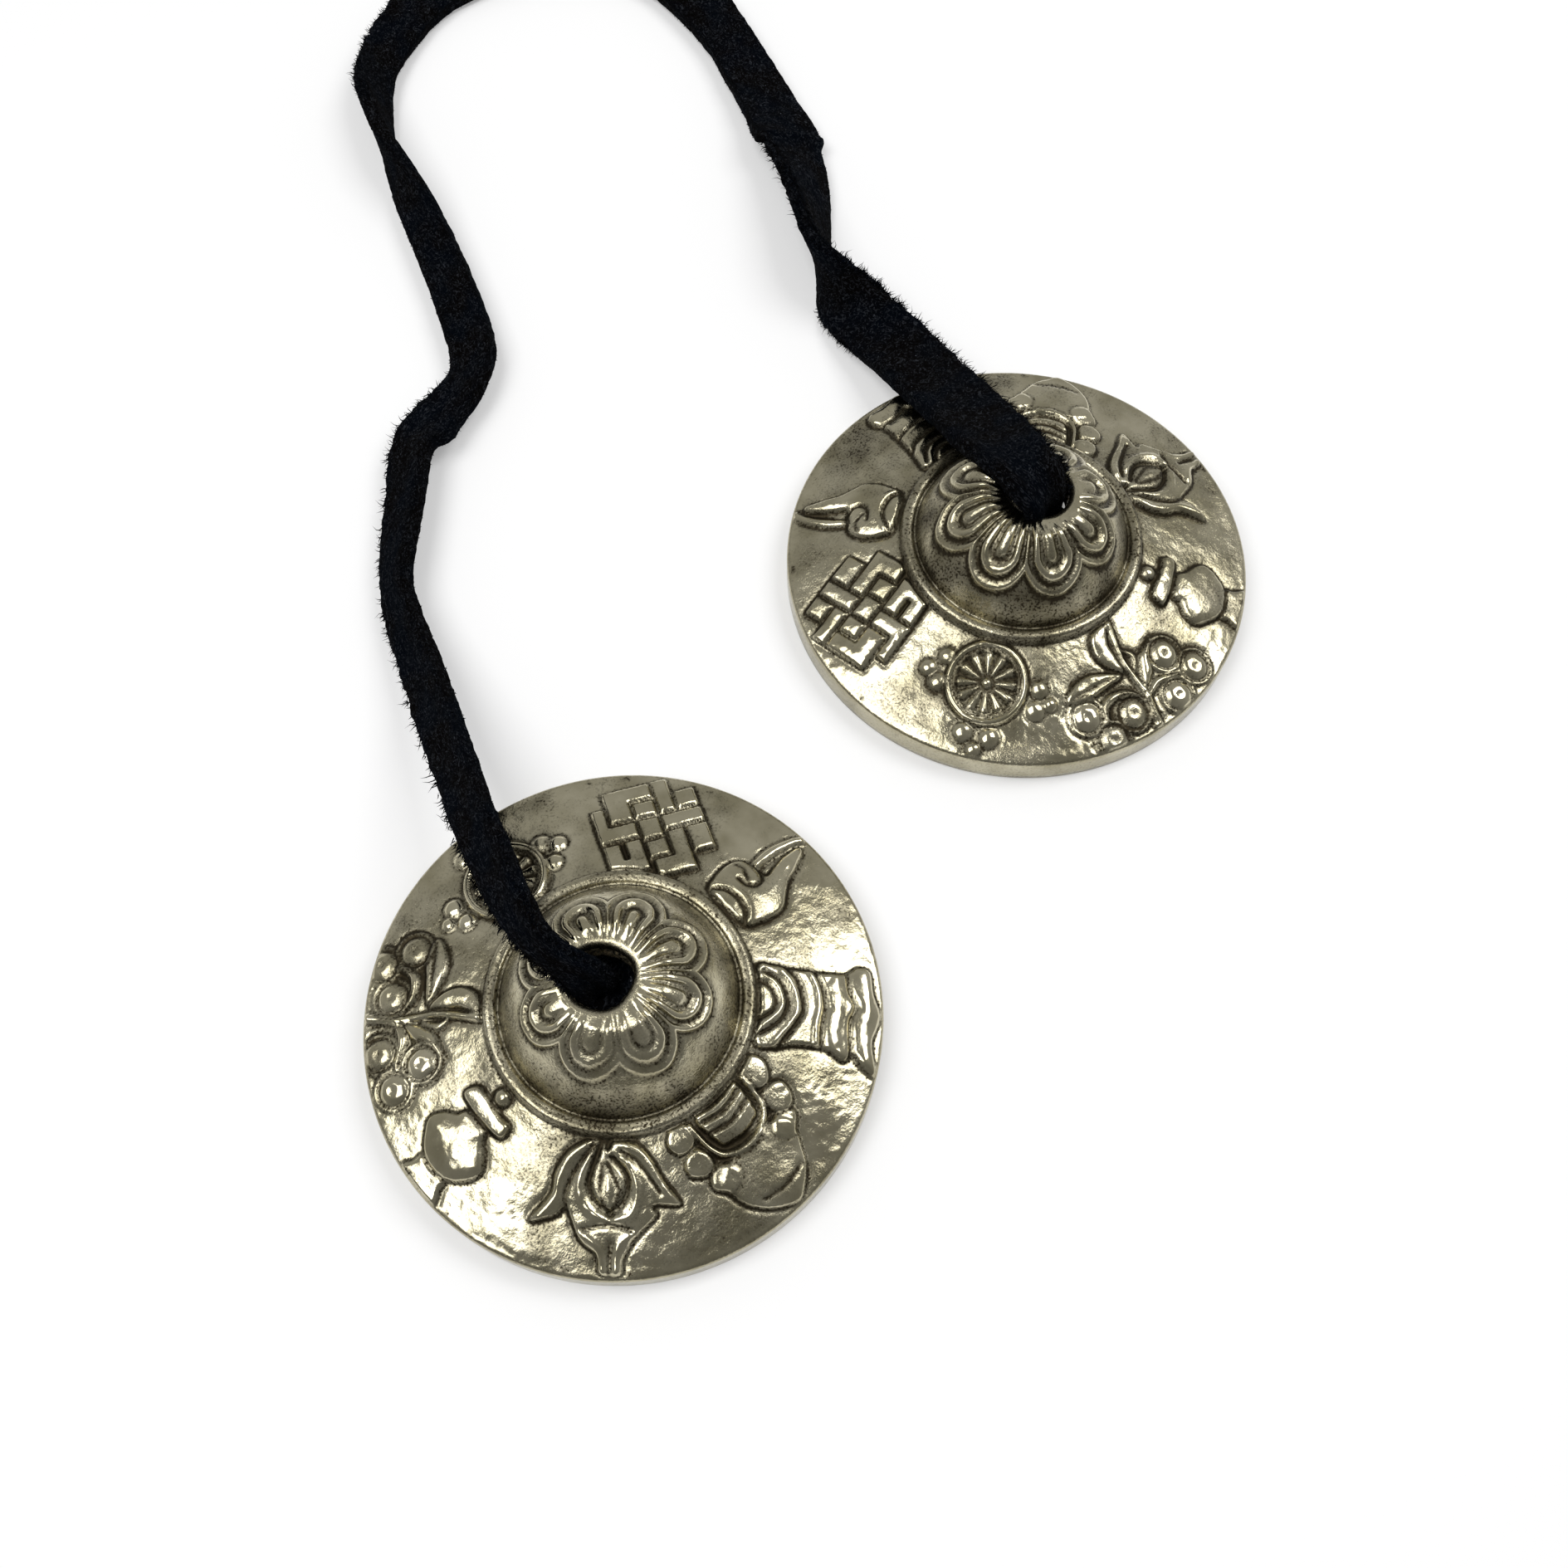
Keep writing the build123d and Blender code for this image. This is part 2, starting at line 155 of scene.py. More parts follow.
def lumps(points, size, seed):
    # Value noise from -1 to 1: lattice corners have fixed random numbers, which blend smoothly in each cell
    place = points / size + 17.3 * seed
    cell = np.floor(place)
    share = smoothStep(place - cell)
    total = 0
    for corner in itertools.product((0, 1), repeat=points.shape[-1]):
        wave = np.sin((cell + corner) @ np.array([127.1, 311.7, 74.7])[: points.shape[-1]]) * 43758.5453
        total = total + (wave - np.floor(wave)) * np.prod(np.where(corner, share, 1 - share), -1)
    return 2 * total - 1


# Materials

def castBronzeMaterial():
    # Cast bell bronze, sand-cast and rubbed bright by hand: silvery grey-gold where rubbed, olive-brown
    # patina in the recesses, casting pits that break the gloss into grains, dull brown oxide in the hole
    look = {"bright": "#c8c1a7", "worn": "#a39c81", "patina": "#342e22", "oxide": "#8a7a5e",
            "cloud": 6.0, "pit": 0.32, "dimple": 1.4,  # grain of each noise
            "pitDark": 0.9, "pitDepth": 0.05, "dimpleDepth": 0.06, "gloss": 0.12, "matt": 0.5}
    material, tree = newMaterial("castBellBronze")
    place = addNode(tree, "TexCoord").outputs["Object"]
    recess, rubbed, oxide = (addNode(tree, "Attribute", attribute_name=label).outputs["Fac"]
                             for label in ("recess", "rubbed", "oxide"))
    cloud = noiseNode(tree, place, 1 / (look["cloud"] * mm), 4.0)
    pits = noiseNode(tree, place, 1 / (look["pit"] * mm), 3.0, Roughness=0.6)
    dimple = noiseNode(tree, place, 1 / (look["dimple"] * mm), 2.0)
    metal = mixNode(tree, rangeNode(tree, cloud, 0.35, 0.65), look["worn"], look["bright"])
    pitDark = rangeNode(tree, pits, 0.5, 0.3, 0.0, look["pitDark"])
    pitShare = mathNode(tree, "MULTIPLY_ADD", recess, 1.2, 0.25)  # pits show most in the recesses
    dark = mathNode(tree, "MULTIPLY_ADD", pitShare, pitDark, recess)
    shade = mathNode(tree, "SUBTRACT", dark, rubbed, clamp=True)
    colour = mixNode(tree, shade, metal, look["patina"])
    colour = mixNode(tree, oxide, colour, look["oxide"])
    coarse = mathNode(tree, "MULTIPLY_ADD", rubbed, -1.5, 1.0, clamp=True)  # rubbing levels pits and dimples
    bump = {"Height": dimple, "Strength": coarse, "Distance": look["dimpleDepth"] * mm}
    rolling = addNode(tree, "Bump", bump).outputs[0]
    bump = {"Height": pits, "Strength": coarse, "Distance": look["pitDepth"] * mm, "Normal": rolling}
    shader = addNode(tree, "BsdfPrincipled", {
        "Base Color": colour, "Metallic": mathNode(tree, "SUBTRACT", 1.0, oxide),
        "Roughness": rangeNode(tree, shade, 0.0, 1.0, look["gloss"], look["matt"]),
        "Normal": addNode(tree, "Bump", bump).outputs[0]})
    addNode(tree, "OutputMaterial", {"Surface": shader.outputs[0]})
    return material


def dyedSuedeMaterial():
    # Black-dyed split suede, buffed: matt and almost black, with brown and blue-black patches where the dye
    # took unevenly, and a short curly nap that lifts paler at its tips
    look = {"dye": "#03060c", "brown": "#050404", "tips": "#3a3d42", "fleck": "#7d828c",
            "patch": 7.0, "nap": 0.85, "napDepth": 0.4, "matt": 0.95, "shine": 0.01, "sheen": 0.004}
    material, tree = newMaterial("blackDyedSuede")
    place = addNode(tree, "UVMap", uv_map="strap").outputs[0]
    patch = noiseNode(tree, place, 1 / look["patch"], 3.0)
    nap = noiseNode(tree, place, 1 / look["nap"], 4.0, Roughness=0.6, Distortion=2.4)
    dust = noiseNode(tree, place, 2.2 / look["nap"], 1.0)
    colour = mixNode(tree, rangeNode(tree, patch, 0.4, 0.6), look["dye"], look["brown"])
    colour = mixNode(tree, rangeNode(tree, nap, 0.52, 0.8), colour, look["tips"])
    colour = mixNode(tree, rangeNode(tree, dust, 0.78, 0.83), colour, look["fleck"])
    bump = addNode(tree, "Bump", {"Height": nap, "Strength": 1.0, "Distance": look["napDepth"] * mm})
    shader = addNode(tree, "BsdfPrincipled", {
        "Base Color": colour, "Roughness": look["matt"], "Specular IOR Level": look["shine"],
        "Sheen Weight": look["sheen"], "Normal": bump.outputs[0]})
    addNode(tree, "OutputMaterial", {"Surface": shader.outputs[0]})
    return material


castBronze = castBronzeMaterial()
dyedSuede = dyedSuedeMaterial()
print("materials made")


# Distances for the raised work, in millimetres: below 0 inside a shape, above 0 outside it

def smoothLine(points, closed=False):  # cubic pieces through the points, sloped as their neighbours lie
    points = np.array(points, float)
    slopes = np.gradient(points, axis=0)
    if closed:
        slopes = (np.roll(points, -1, 0) - np.roll(points, 1, 0)) / 2
        points, slopes = (np.vstack([rows, rows[:1]]) for rows in (points, slopes))
    t = np.linspace(0, len(points) - 1, 5 * len(points) - 4)
    i = np.minimum(t.astype(int), len(points) - 2)
    f = (t - i)[:, None]
    ahead = f * f * (3 - 2 * f)
    return ((1 - ahead) * points[i] + f * (1 - f) ** 2 * slopes[i]
            + ahead * points[i + 1] - f * f * (1 - f) * slopes[i + 1])


def offLine(u, v, line, half):  # distance to straight pieces end to end, less half the width there
    away = np.full(u.shape, np.inf)
    for a, b, halfA, halfB in zip(line, line[1:], half, half[1:]):
        run = b - a
        share = np.clip(((u - a[0]) * run[0] + (v - a[1]) * run[1]) / (run @ run), 0, 1)
        gap = np.hypot(u - a[0] - share * run[0], v - a[1] - share * run[1])
        away = np.minimum(away, gap - halfA - share * (halfB - halfA))
    return away


def offStroke(u, v, points, widths):  # a smooth line whose width changes along it
    line = smoothLine(points)
    half = np.interp(np.linspace(0, 1, len(line)), np.linspace(0, 1, len(widths)), widths) / 2
    return offLine(u, v, line, half)


def offShape(u, v, points, soft):
    # A closed outline: a point is inside where the way to its right crosses it an odd number of times
    line = smoothLine(points, True) if soft else np.array(points + points[:1], float)
    away = offLine(u, v, line, np.zeros(len(line)))
    inside = np.zeros(u.shape, bool)
    for a, b in zip(line, line[1:]):
        rise = b[1] - a[1] if b[1] != a[1] else 1e-9
        inside ^= ((a[1] > v) != (b[1] > v)) & (u < a[0] + (v - a[1]) * (b[0] - a[0]) / rise)
    return np.where(inside, -away, away)


def dome(off, tall, radius):  # rounded: 0 at the edge, full height a radius inside it
    return tall * (1 - np.clip(1 + off / radius, 0, 1) ** 2.5)


def bell(off, width):  # 1 on a line, falling away to both sides over the width
    return np.exp(-((off / width) ** 2))


# The eight raised signs. Each has its angle on the pattern, its distance from the axis, half its window and
# the tilt of its own axes: u runs clockwise along the rim and v outwards, in millimetres from its middle.
# shapes: outline, height, swell. strokes: points, widths, height. rings: u, v, radius, width, height.
# beads: u, v, radius, height. dimples: u, v, depth, width. grooves and ridges: points, depth or height,
# width. Outlines are curved unless soft is off. ink: how dark the patina along outlines is.

fruits = [(-5.2, 4.4), (1.95, 3.4), (6.2, 5), (7.7, 0.65), (-6.7, -1.2), (-9.7, 2.2)]
fruitSprig = {
    "angle": 129.7, "radius": 25.5, "half": 12.5,
    "shapes": [
        ([(0.4, -1.5), (4, -1.1), (6.6, -1), (9.1, -2.1), (8, -3.4), (5.5, -4),
          (3, -3.3)], 0.45, 0.3),
        ([(-0.2, -1.9), (0.6, -2.1), (1.7, -3.5), (2.3, -5.2), (2, -7), (0.8, -8.3), (-1.7, -8.5),
          (-0.3, -6), (-0.3, -4)], 0.5, 0.3),
    ],
    "strokes": [
        ([(-1.5, -0.9), (-2.4, -2.9), (-1.4, -4.5)], [0.5, 1.2, 0.5], 0.35),
        ([(-1.3, 1.6), (-3, -0.4), (-3.9, -2.2), (-6.3, -4.1)], [0.7, 2, 1.7, 0.4], 0.65),
        ([(-1.3, 2.5), (-3.6, 1.5), (-6.9, 2)], [0.9, 1.2, 0.7], 0.5),
        ([(-0.2, 1.8), (1.5, 0.6), (3.6, 0.3), (5, 1), (5.7, 3)], [0.6, 1.2, 1.4, 1.2, 0.7], 0.6),
        ([(-0.4, 6.7), (-0.8, 4.4), (-1.1, 2), (-0.9, -0.6), (-0.8, -3.4), (-1.8, -8.3)],
         [1.5, 1.2, 1.3, 1, 1, 1.2], 0.6),
    ],
    "rings": [(u, v, 2.4, 0.5, 0.25) for u, v in fruits],
    "beads": [(u, v, 1.95, 0.62) for u, v in fruits],
    "dimples": [(u, v, 0.22, 0.6) for u, v in fruits],
    "grooves": [([(1.6, -1.9), (5, -2.2), (8.4, -2.3)], 0.18, 0.3)],
}
wheel = (-0.1, -0.8)
jewels = [(-2.1, 6.1, 1.4), (1.5, 6.1, 1.4), (-0.4, 8.1, 1.15), (-7.3, 1.1, 1.4), (-7.2, -1.7, 1.25),
          (-9.1, -0.2, 1), (6.4, 0.3, 1.4), (8, -1.3, 1.25), (5.9, -3.3, 1.25)]
spokeWays = [cosSin(degrees) for degrees in range(8, 368, 30)]
jewelWheel = {
    "angle": 81.7, "radius": 23.2, "half": 10.8, "ink": 0.75,
    "strokes": [([(wheel[0] + 1.2 * c, wheel[1] + 1.2 * s), (wheel[0] + 3.65 * c, wheel[1] + 3.65 * s)],
                 [0.5, 1.45], 0.45) for c, s in spokeWays],
    "beads": [(u, v, radius, 0.5) for u, v, radius in jewels] + [(wheel[0], wheel[1], 0.85, 0.6)],
    "rings": [(wheel[0], wheel[1], 4.4, 0.45, 0.5), (wheel[0], wheel[1], 5.15, 1.1, 0.75)],
}
endlessKnot = {  # the bands of its weave that pass over, one outline for each
    "angle": 29.5, "radius": 24.3, "half": 10.8, "tilt": 28.5, "soft": False,
    "shapes": [(outline, 0.55, 0.3) for outline in [
        [(-6, 1.75), (-2.8, 1.75), (-2.8, 4.5), (0.5, 4.5), (0.5, 7.1), (-6, 7.1)],
        [(-2.6, 1.75), (0.4, 1.75), (0.4, 4.3), (-2.6, 4.3)],
        [(0.7, 1.75), (2.9, 1.75), (2.9, 7.1), (0.7, 7.1)],
        [(3.1, 1.75), (6, 1.75), (6, 4.7), (3.1, 4.7)],
        [(-8, -1), (-2.8, -1), (-2.8, 1.5), (-6.2, 1.5), (-6.2, 4.7), (-8, 4.7)],
        [(-2.6, -1.8), (0.3, -1.8), (0.3, 1.5), (-2.6, 1.5)],
        [(0.5, -1), (6, -1), (6, 1.5), (0.5, 1.5)],
        [(-7.9, -6.3), (-2.8, -6.3), (-2.8, -1.2), (-5.1, -1.2), (-5.1, -3.9), (-5.6, -3.9),
         (-5.6, -1.2), (-7.9, -1.2)],
        [(-2.6, -4.9), (0.3, -4.9), (0.3, -2), (-2.6, -2)],
        [(-2.3, -7.9), (2.9, -7.9), (2.9, -1.2), (0.5, -1.2), (0.5, -5.1), (-2.3, -5.1)],
        [(3.1, -5.4), (6, -5.4), (6, -1.2), (3.1, -1.2)],
    ]],
}
conchShell = {
    "angle": -7.1, "radius": 24.3, "half": 7,
    "strokes": [([(-1.9, 0.2), (-2.1, 2.6), (-1.8, 5), (-1.3, 6.7), (-0.7, 7.7)],
                 [1.3, 1.6, 1.5, 1.3, 1.2], 0.55)],
    "shapes": [
        ([(-2.7, -6.8), (-3.9, -5.2), (-4.3, -3.2), (-4, -1.4), (-3, -0.3), (-1.8, 0.2), (-0.6, 0.2),
          (0.2, 0.3), (-0.1, 1.8), (-0.5, 4), (-0.3, 6.3), (0.6, 6.4), (1.8, 4), (2.6, 2),
          (3.9, 0.2), (4.9, -1.2), (5, -3), (4.5, -5), (3.2, -6.8)], 0.55, 0.7),
    ],
    "grooves": [
        ([(-2.9, -0.3), (-1.4, 0), (0, -0.35), (0.6, -1.3), (0.4, -2.3), (-0.5, -2.9),
          (-1.6, -3)], 0.4, 0.32),
        ([(-3.3, -1.9), (-2.3, -1.5), (-1.5, -1.9), (-0.9, -2.2)], 0.2, 0.3),
        ([(-2.8, -6.4), (-1.5, -5.4), (0.3, -5), (2.2, -5.5), (3.3, -6.5)], 0.4, 0.28),
    ],
    "ridges": [([(-2.8, -5.7), (-1.1, -4.6), (0.6, -4.3), (2.4, -4.9), (3.5, -6)], 0.22, 0.35)],
}
victoryBanner = {
    "angle": -53.1, "radius": 24.6, "half": 9.5,
    "shapes": [
        ([(-4.5, -8.2), (-5.2, -6.2), (-5, -4), (-5, 0), (-5.2, 3), (-6.2, 4.5), (-5.7, 6.1),
          (-3, 6.5), (-0.5, 7.4), (1.5, 7), (3.5, 6.4), (7.5, 6.9), (6.2, 4.9), (5.1, 4),
          (5.9, 2.8), (5, 1.2), (4.6, 0), (4.6, -3.5), (5.2, -6), (4.3, -8.2)], 0.6, 0.1),
    ],
    "grooves": [
        ([(-5.2, 3.1), (-3, 3.4), (-0.9, 4.2), (1.2, 3.5), (5.2, 3.7)], 0.5, 0.3),
        ([(-5, -1), (-3, 0), (-0.5, 0.4), (2, 0), (4.6, 0.1)], 0.5, 0.3),
        ([(-5.1, -4.6), (-3.5, -3.1), (-0.3, -2.3), (1.5, -2.9), (4.9, -5.2)], 0.45, 0.28),
        ([(-4.3, -7.4), (-3.3, -5.5), (-1.6, -4.5), (0.2, -4.4), (2, -5.4), (3.6, -7.5)], 0.35, 0.25),
        ([(-3, -7.8), (-2.2, -6.5), (-0.8, -5.8), (0.6, -6.1), (1.8, -7.6)], 0.35, 0.25),
    ],
    "ridges": [
        ([(-4.8, -1.7), (-2.8, -0.7), (-0.5, -0.4), (2, -0.8), (4.4, -0.8)], 0.28, 0.4),
        ([(-4.8, 1.6), (-1, 1.9), (2, 1.5), (4.8, 1.8)], 0.2, 0.9),
        ([(-5.2, 5), (-1, 5.7), (2, 5.1), (5.8, 5.8)], 0.25, 0.9),
        ([(-4.6, -5.3), (-3, -3.9), (-0.2, -3.1), (1.6, -3.7), (4.6, -6)], 0.22, 0.3),
        ([(-3.8, -7.5), (-2.8, -5.9), (-1.2, -5.1), (0.4, -5.2), (2.7, -7.4)], 0.2, 0.28),
    ],
}
parasolRibs = [[(-2.7, v - 0.6), (0.2, v), (3.1, v - 0.6)] for v in (-3.6, -5.1, -6.4)]
stateParasol = {
    "angle": 263, "radius": 24, "half": 9.2, "ink": 0.65,
    "shapes": [
        ([(0.6, 7.9), (-1.4, 6.9), (-3, 5.4), (-4, 3.6), (-4.8, 2), (-5, 0.4), (-3.6, -1),
          (0.2, -1), (4, -1), (6.2, 0.4), (6, 2.4), (5.3, 4.4), (3.4, 6.5)], 0.6, 0.25),
        ([(-4.4, 2.1), (-2.8, 1.5), (-2.4, 0.2), (-3.3, -1), (-5, -1.1), (-6.3, 0.1)], 0.58, 0.12),
        ([(-6.3, -0.6), (-4.6, -1), (-3.9, -2.4), (-4.4, -4), (-6.2, -4.2), (-7.5, -3.4),
          (-7.4, -1.6)], 0.58, 0.12),
        ([(-6.2, -4.4), (-4.6, -4.6), (-3.8, -6), (-4.4, -8), (-6.6, -8.2), (-7.5, -6.4)], 0.6, 0.15),
        ([(5.6, 1.9), (3.8, 1.5), (3.2, 0.2), (4.2, -1.3), (6.2, -1.4), (7.1, 0.1)], 0.58, 0.12),
        ([(6.8, -1.5), (5.2, -1.8), (4.8, -3.2), (5.6, -4.7), (7.6, -4.5), (8.2, -2.9)], 0.58, 0.12),
        ([(6.2, -4.9), (4.6, -5.6), (4.6, -7.6), (6.2, -8.4), (7.8, -7.4), (7.7, -5.6)], 0.58, 0.15),
        ([(-2.7, -7.8), (-2.8, -3.2), (-1.6, -2.4), (0.2, -2.1), (2, -2.4), (3.1, -3.2),
          (3.1, -7.8)], 0.5, 0.3),
    ],
    "strokes": [([(-4, -7), (-3.9, -3.8), (-2.9, -1.8), (0.2, -0.8), (3.2, -1.6), (4.3, -3.6),
                  (4.4, -7)], [0.7, 1, 0.7], 0.75)],
    "grooves": [([(u, v - 0.55) for u, v in rib], 0.3, 0.28) for rib in parasolRibs]
    + [([(-2.4, 4.9), (0.6, 5.4), (3.6, 4.9)], 0.12, 0.35)],
    "ridges": [(rib, 0.28, 0.28) for rib in parasolRibs],
}
lotusFlower = {
    "angle": 215.7, "radius": 24, "half": 9.8,
    "shapes": [
        ([(-2.5, 7.6), (-2.8, 5.8), (-4, 3.6), (-6.3, 1), (-6, -0.2), (-9.1, -0.5), (-7, -3),
          (-5.5, -5.2), (-3.5, -6.9), (-1, -7.2), (-0.2, -6), (0.6, -7.3), (2.4, -7), (4.6, -5.6),
          (5.9, -3.4), (6.3, -1), (8.7, 2.1), (5.6, 1.6), (4.3, 0.7), (2.6, 4), (0.5, 5.6),
          (-0.1, 7.6)], 0.6, 0.1),
    ],
    "strokes": [([(-0.8, 0.3), (-0.7, -1.6), (-0.1, -4.3)], [0.6, 2, 0.5], 0.55)],
    "grooves": [
        ([(-0.9, 1), (-2.2, -0.1), (-2.8, -2), (-2.4, -3.6), (-0.8, -5.2)], 0.5, 0.38),
        ([(-0.9, 1), (0.9, -0.2), (1.8, -2.2), (1.4, -4.2), (0.5, -7)], 0.5, 0.38),
        ([(-6.6, -1.7), (-5, -3.6), (-3.6, -5), (-1.8, -5.9)], 0.3, 0.28),
        ([(4.3, 0.7), (4.5, -1), (3.7, -3.2), (2.4, -5.2), (1.4, -6.6)], 0.35, 0.28),
        ([(-3.6, 2.6), (-1, 2.2), (2.2, 2.8)], 0.3, 0.25),
        ([(-1.2, 4.2), (-1.2, 7.6)], 0.35, 0.3),
    ],
    "ridges": [
        ([(-1.6, 1.6), (-3.3, 0.9), (-4, -1), (-3.7, -3), (-2.6, -4.9)], 0.3, 0.42),
        ([(0.2, 1.5), (1.9, 0.4), (2.8, -1.4), (2.6, -3.4), (1.8, -5.4)], 0.22, 0.42),
        ([(7.4, 1.6), (5.6, -0.6), (5.2, -2.8), (4.2, -5), (2.4, -6.5)], 0.25, 0.5),
        ([(-7.8, -1.4), (-6.2, -3.5), (-4.4, -5.7), (-2.4, -6.6)], 0.25, 0.45),
        ([(-3.4, 3.2), (-2.2, 4.4), (-2, 6), (-2.1, 7.5)], 0.22, 0.35),
        ([(1.9, 3.5), (0.4, 4.6), (-0.2, 6), (-0.4, 7.5)], 0.22, 0.35),
    ],
}
treasureVase = {
    "angle": 171.9, "radius": 24.7, "half": 7.2,
    "shapes": [
        ([(-1.4, 4.4), (0.8, 4.8), (3, 4.4), (3.3, 5.8), (4, 7.4), (0.8, 7.8), (-2.4, 7.4),
          (-1.8, 5.8)], 0.45, 0.1),
        ([(-4, 1), (-3.4, 2.6), (-1.6, 4.3), (1, 4.75), (3.1, 4.2), (4.9, 2.5), (5.65, 1),
          (4.8, -0.6), (3.4, -1.6), (2.7, -2.7), (0.9, -2.9), (-0.8, -2.7), (-1.6, -1.6),
          (-3.4, -0.2)], 0.5, 0.75),
        ([(-2.9, -4), (-2.2, -3.2), (0.6, -3.1), (3, -3.2), (4.7, -3.8), (3.9, -5.5), (1.6, -5.6),
          (-0.8, -5.2), (-2.4, -5.2)], 0.65, 0.2),
    ],
    "beads": [(0.7, -6.6, 1.15, 0.65)],
}
signs = [fruitSprig, jewelWheel, endlessKnot, conchShell, victoryBanner, stateParasol, lotusFlower,
         treasureVase]
relief = {
    "wall": 0.55, "wallOut": 0.35, "swellOver": 1.5,  # a wall's width and start, how far in a shape swells
    "stacking": 0.4, "lap": 0.4,  # how much a form below lifts one above it, and over what width
    "line": 0.28, "foot": 0.14, "wipe": 0.3,  # patina: its width, how far out it lies, how softly it ends
    "wipeOut": 0.7, "coverOut": 0.4,  # how far past an outline it is wiped, and how far lines are cut
    "furrow": 0.1, "furrowOut": 0.25, "furrowWidth": 0.3, "dimpleShade": 0.45, "reach": 9.5,
}


def liftSign(sign, u, v):
    # Shapes climb a wall at their outline and swell towards the middle; strokes, rings and beads are rounded;
    # grooves sink and ridges rise along their lines where the sign is raised. Patina stays along outlines and
    # grooves.
    c, s = cosSin(sign.get("tilt", 0.0))
    u, v = u * c + v * s, v * c - u * s
    forms = []
    for outline, tall, swell in sign.get("shapes", []):
        off = offShape(u, v, outline, sign.get("soft", True))
        wall = tall * smoothStep(relief["wallOut"] - off / relief["wall"])
        forms.append((off, wall + swell * (1 - np.exp(np.minimum(off, 0) / relief["swellOver"]))))
    for points, widths, tall in sign.get("strokes", []):
        off = offStroke(u, v, points, widths)
        forms.append((off, dome(off, tall, max(widths) / 2)))
    for middleU, middleV, radius, width, tall in sign.get("rings", []):
        off = np.abs(np.hypot(u - middleU, v - middleV) - radius) - width / 2
        forms.append((off, dome(off, tall, width / 2)))
    for middleU, middleV, radius, tall in sign.get("beads", []):
        off = np.hypot(u - middleU, v - middleV) - radius
        forms.append((off, dome(off, tall, radius)))
    height = np.zeros(u.shape)
    shade = np.zeros(u.shape)
    nearest = np.full(u.shape, np.inf)
    for off, rise in forms:
        under = relief["stacking"] * height * smoothStep(-off / relief["lap"])
        height = np.maximum(height, rise + under)
        shade = shade * smoothStep(off / relief["wipe"] + relief["wipeOut"])
        shade = np.maximum(shade, sign.get("ink", 1.0) * bell(off - relief["foot"], relief["line"]))
        nearest = np.minimum(nearest, off)
    height = height - relief["furrow"] * bell(nearest - relief["furrowOut"], relief["furrowWidth"])
    cover = smoothStep(relief["coverOut"] - nearest / relief["wipe"])
    for points, tall, width in sign.get("ridges", []):
        height = height + tall * bell(offStroke(u, v, points, [0, 0]), width) * cover
    for points, depth, width in sign.get("grooves", []):
        cut = bell(offStroke(u, v, points, [0, 0]), width) * cover
        height = height - depth * cut
        shade = np.maximum(shade, cut)
    for middleU, middleV, depth, width in sign.get("dimples", []):
        cut = bell(np.hypot(u - middleU, v - middleV), width)
        height = height - depth * cut
        shade = np.maximum(shade, relief["dimpleShade"] * cut)
    return height, shade


rosette = {
    "petals": 8, "first": 22.5, "bend": 8.0, "radius": 3.95, "wobble": 0.15, "wobbleSize": 2.6,
    # each ridge: how far inside the petal's edge, half its width, its height, the width of its shoulder
    "ridges": [(0.45, 0.42, 0.45, 0.4), (1.9, 0.55, 0.6, 0.45), (3.95, 0.85, 0.4, 0.8)],
    "lines": [(-0.15, 0.22, 0.7), (1.15, 0.34, 0.6), (2.85, 0.26, 0.8)],  # patina: place, width, strength
    "furrow": (0.2, 0.3, 0.1),  # round the petals: how far outside, width, depth
}


def rosetteHeight(x, y):
    # Each petal is a wedge that ends in a half circle, and in the wedge widths shrink towards the hole.
    # Ridges follow the petal's edge inside it, with flat tops and narrow furrows between.
    r = np.hypot(x, y)
    step = 2 * math.pi / rosette["petals"]
    angle = (np.arctan2(y, x) - math.radians(rosette["first"])) / step
    angle = (angle - np.round(angle)) * step
    across, along = r * np.sin(angle), r * np.cos(angle)
    past = along - rosette["bend"]
    inWedge = np.abs(across) * rosette["bend"] / np.maximum(along, 1)
    fromMiddle = np.where(past > 0, np.hypot(across, past), inWedge)
    wobble = rosette["wobble"] * lumps(np.stack([x, y], -1), rosette["wobbleSize"], 21)
    edge = fromMiddle - rosette["radius"] + wobble
    height = np.zeros(r.shape)
    shade = np.zeros(r.shape)
    for inside, half, tall, shoulder in rosette["ridges"]:
        height = np.maximum(height, dome(np.abs(edge + inside) - half, tall, shoulder))
    for inside, width, strength in rosette["lines"]:
        shade = np.maximum(shade, strength * bell(edge + inside, width))
    outside, width, depth = rosette["furrow"]
    return height - depth * bell(edge - outside, width), shade


# Cymbals

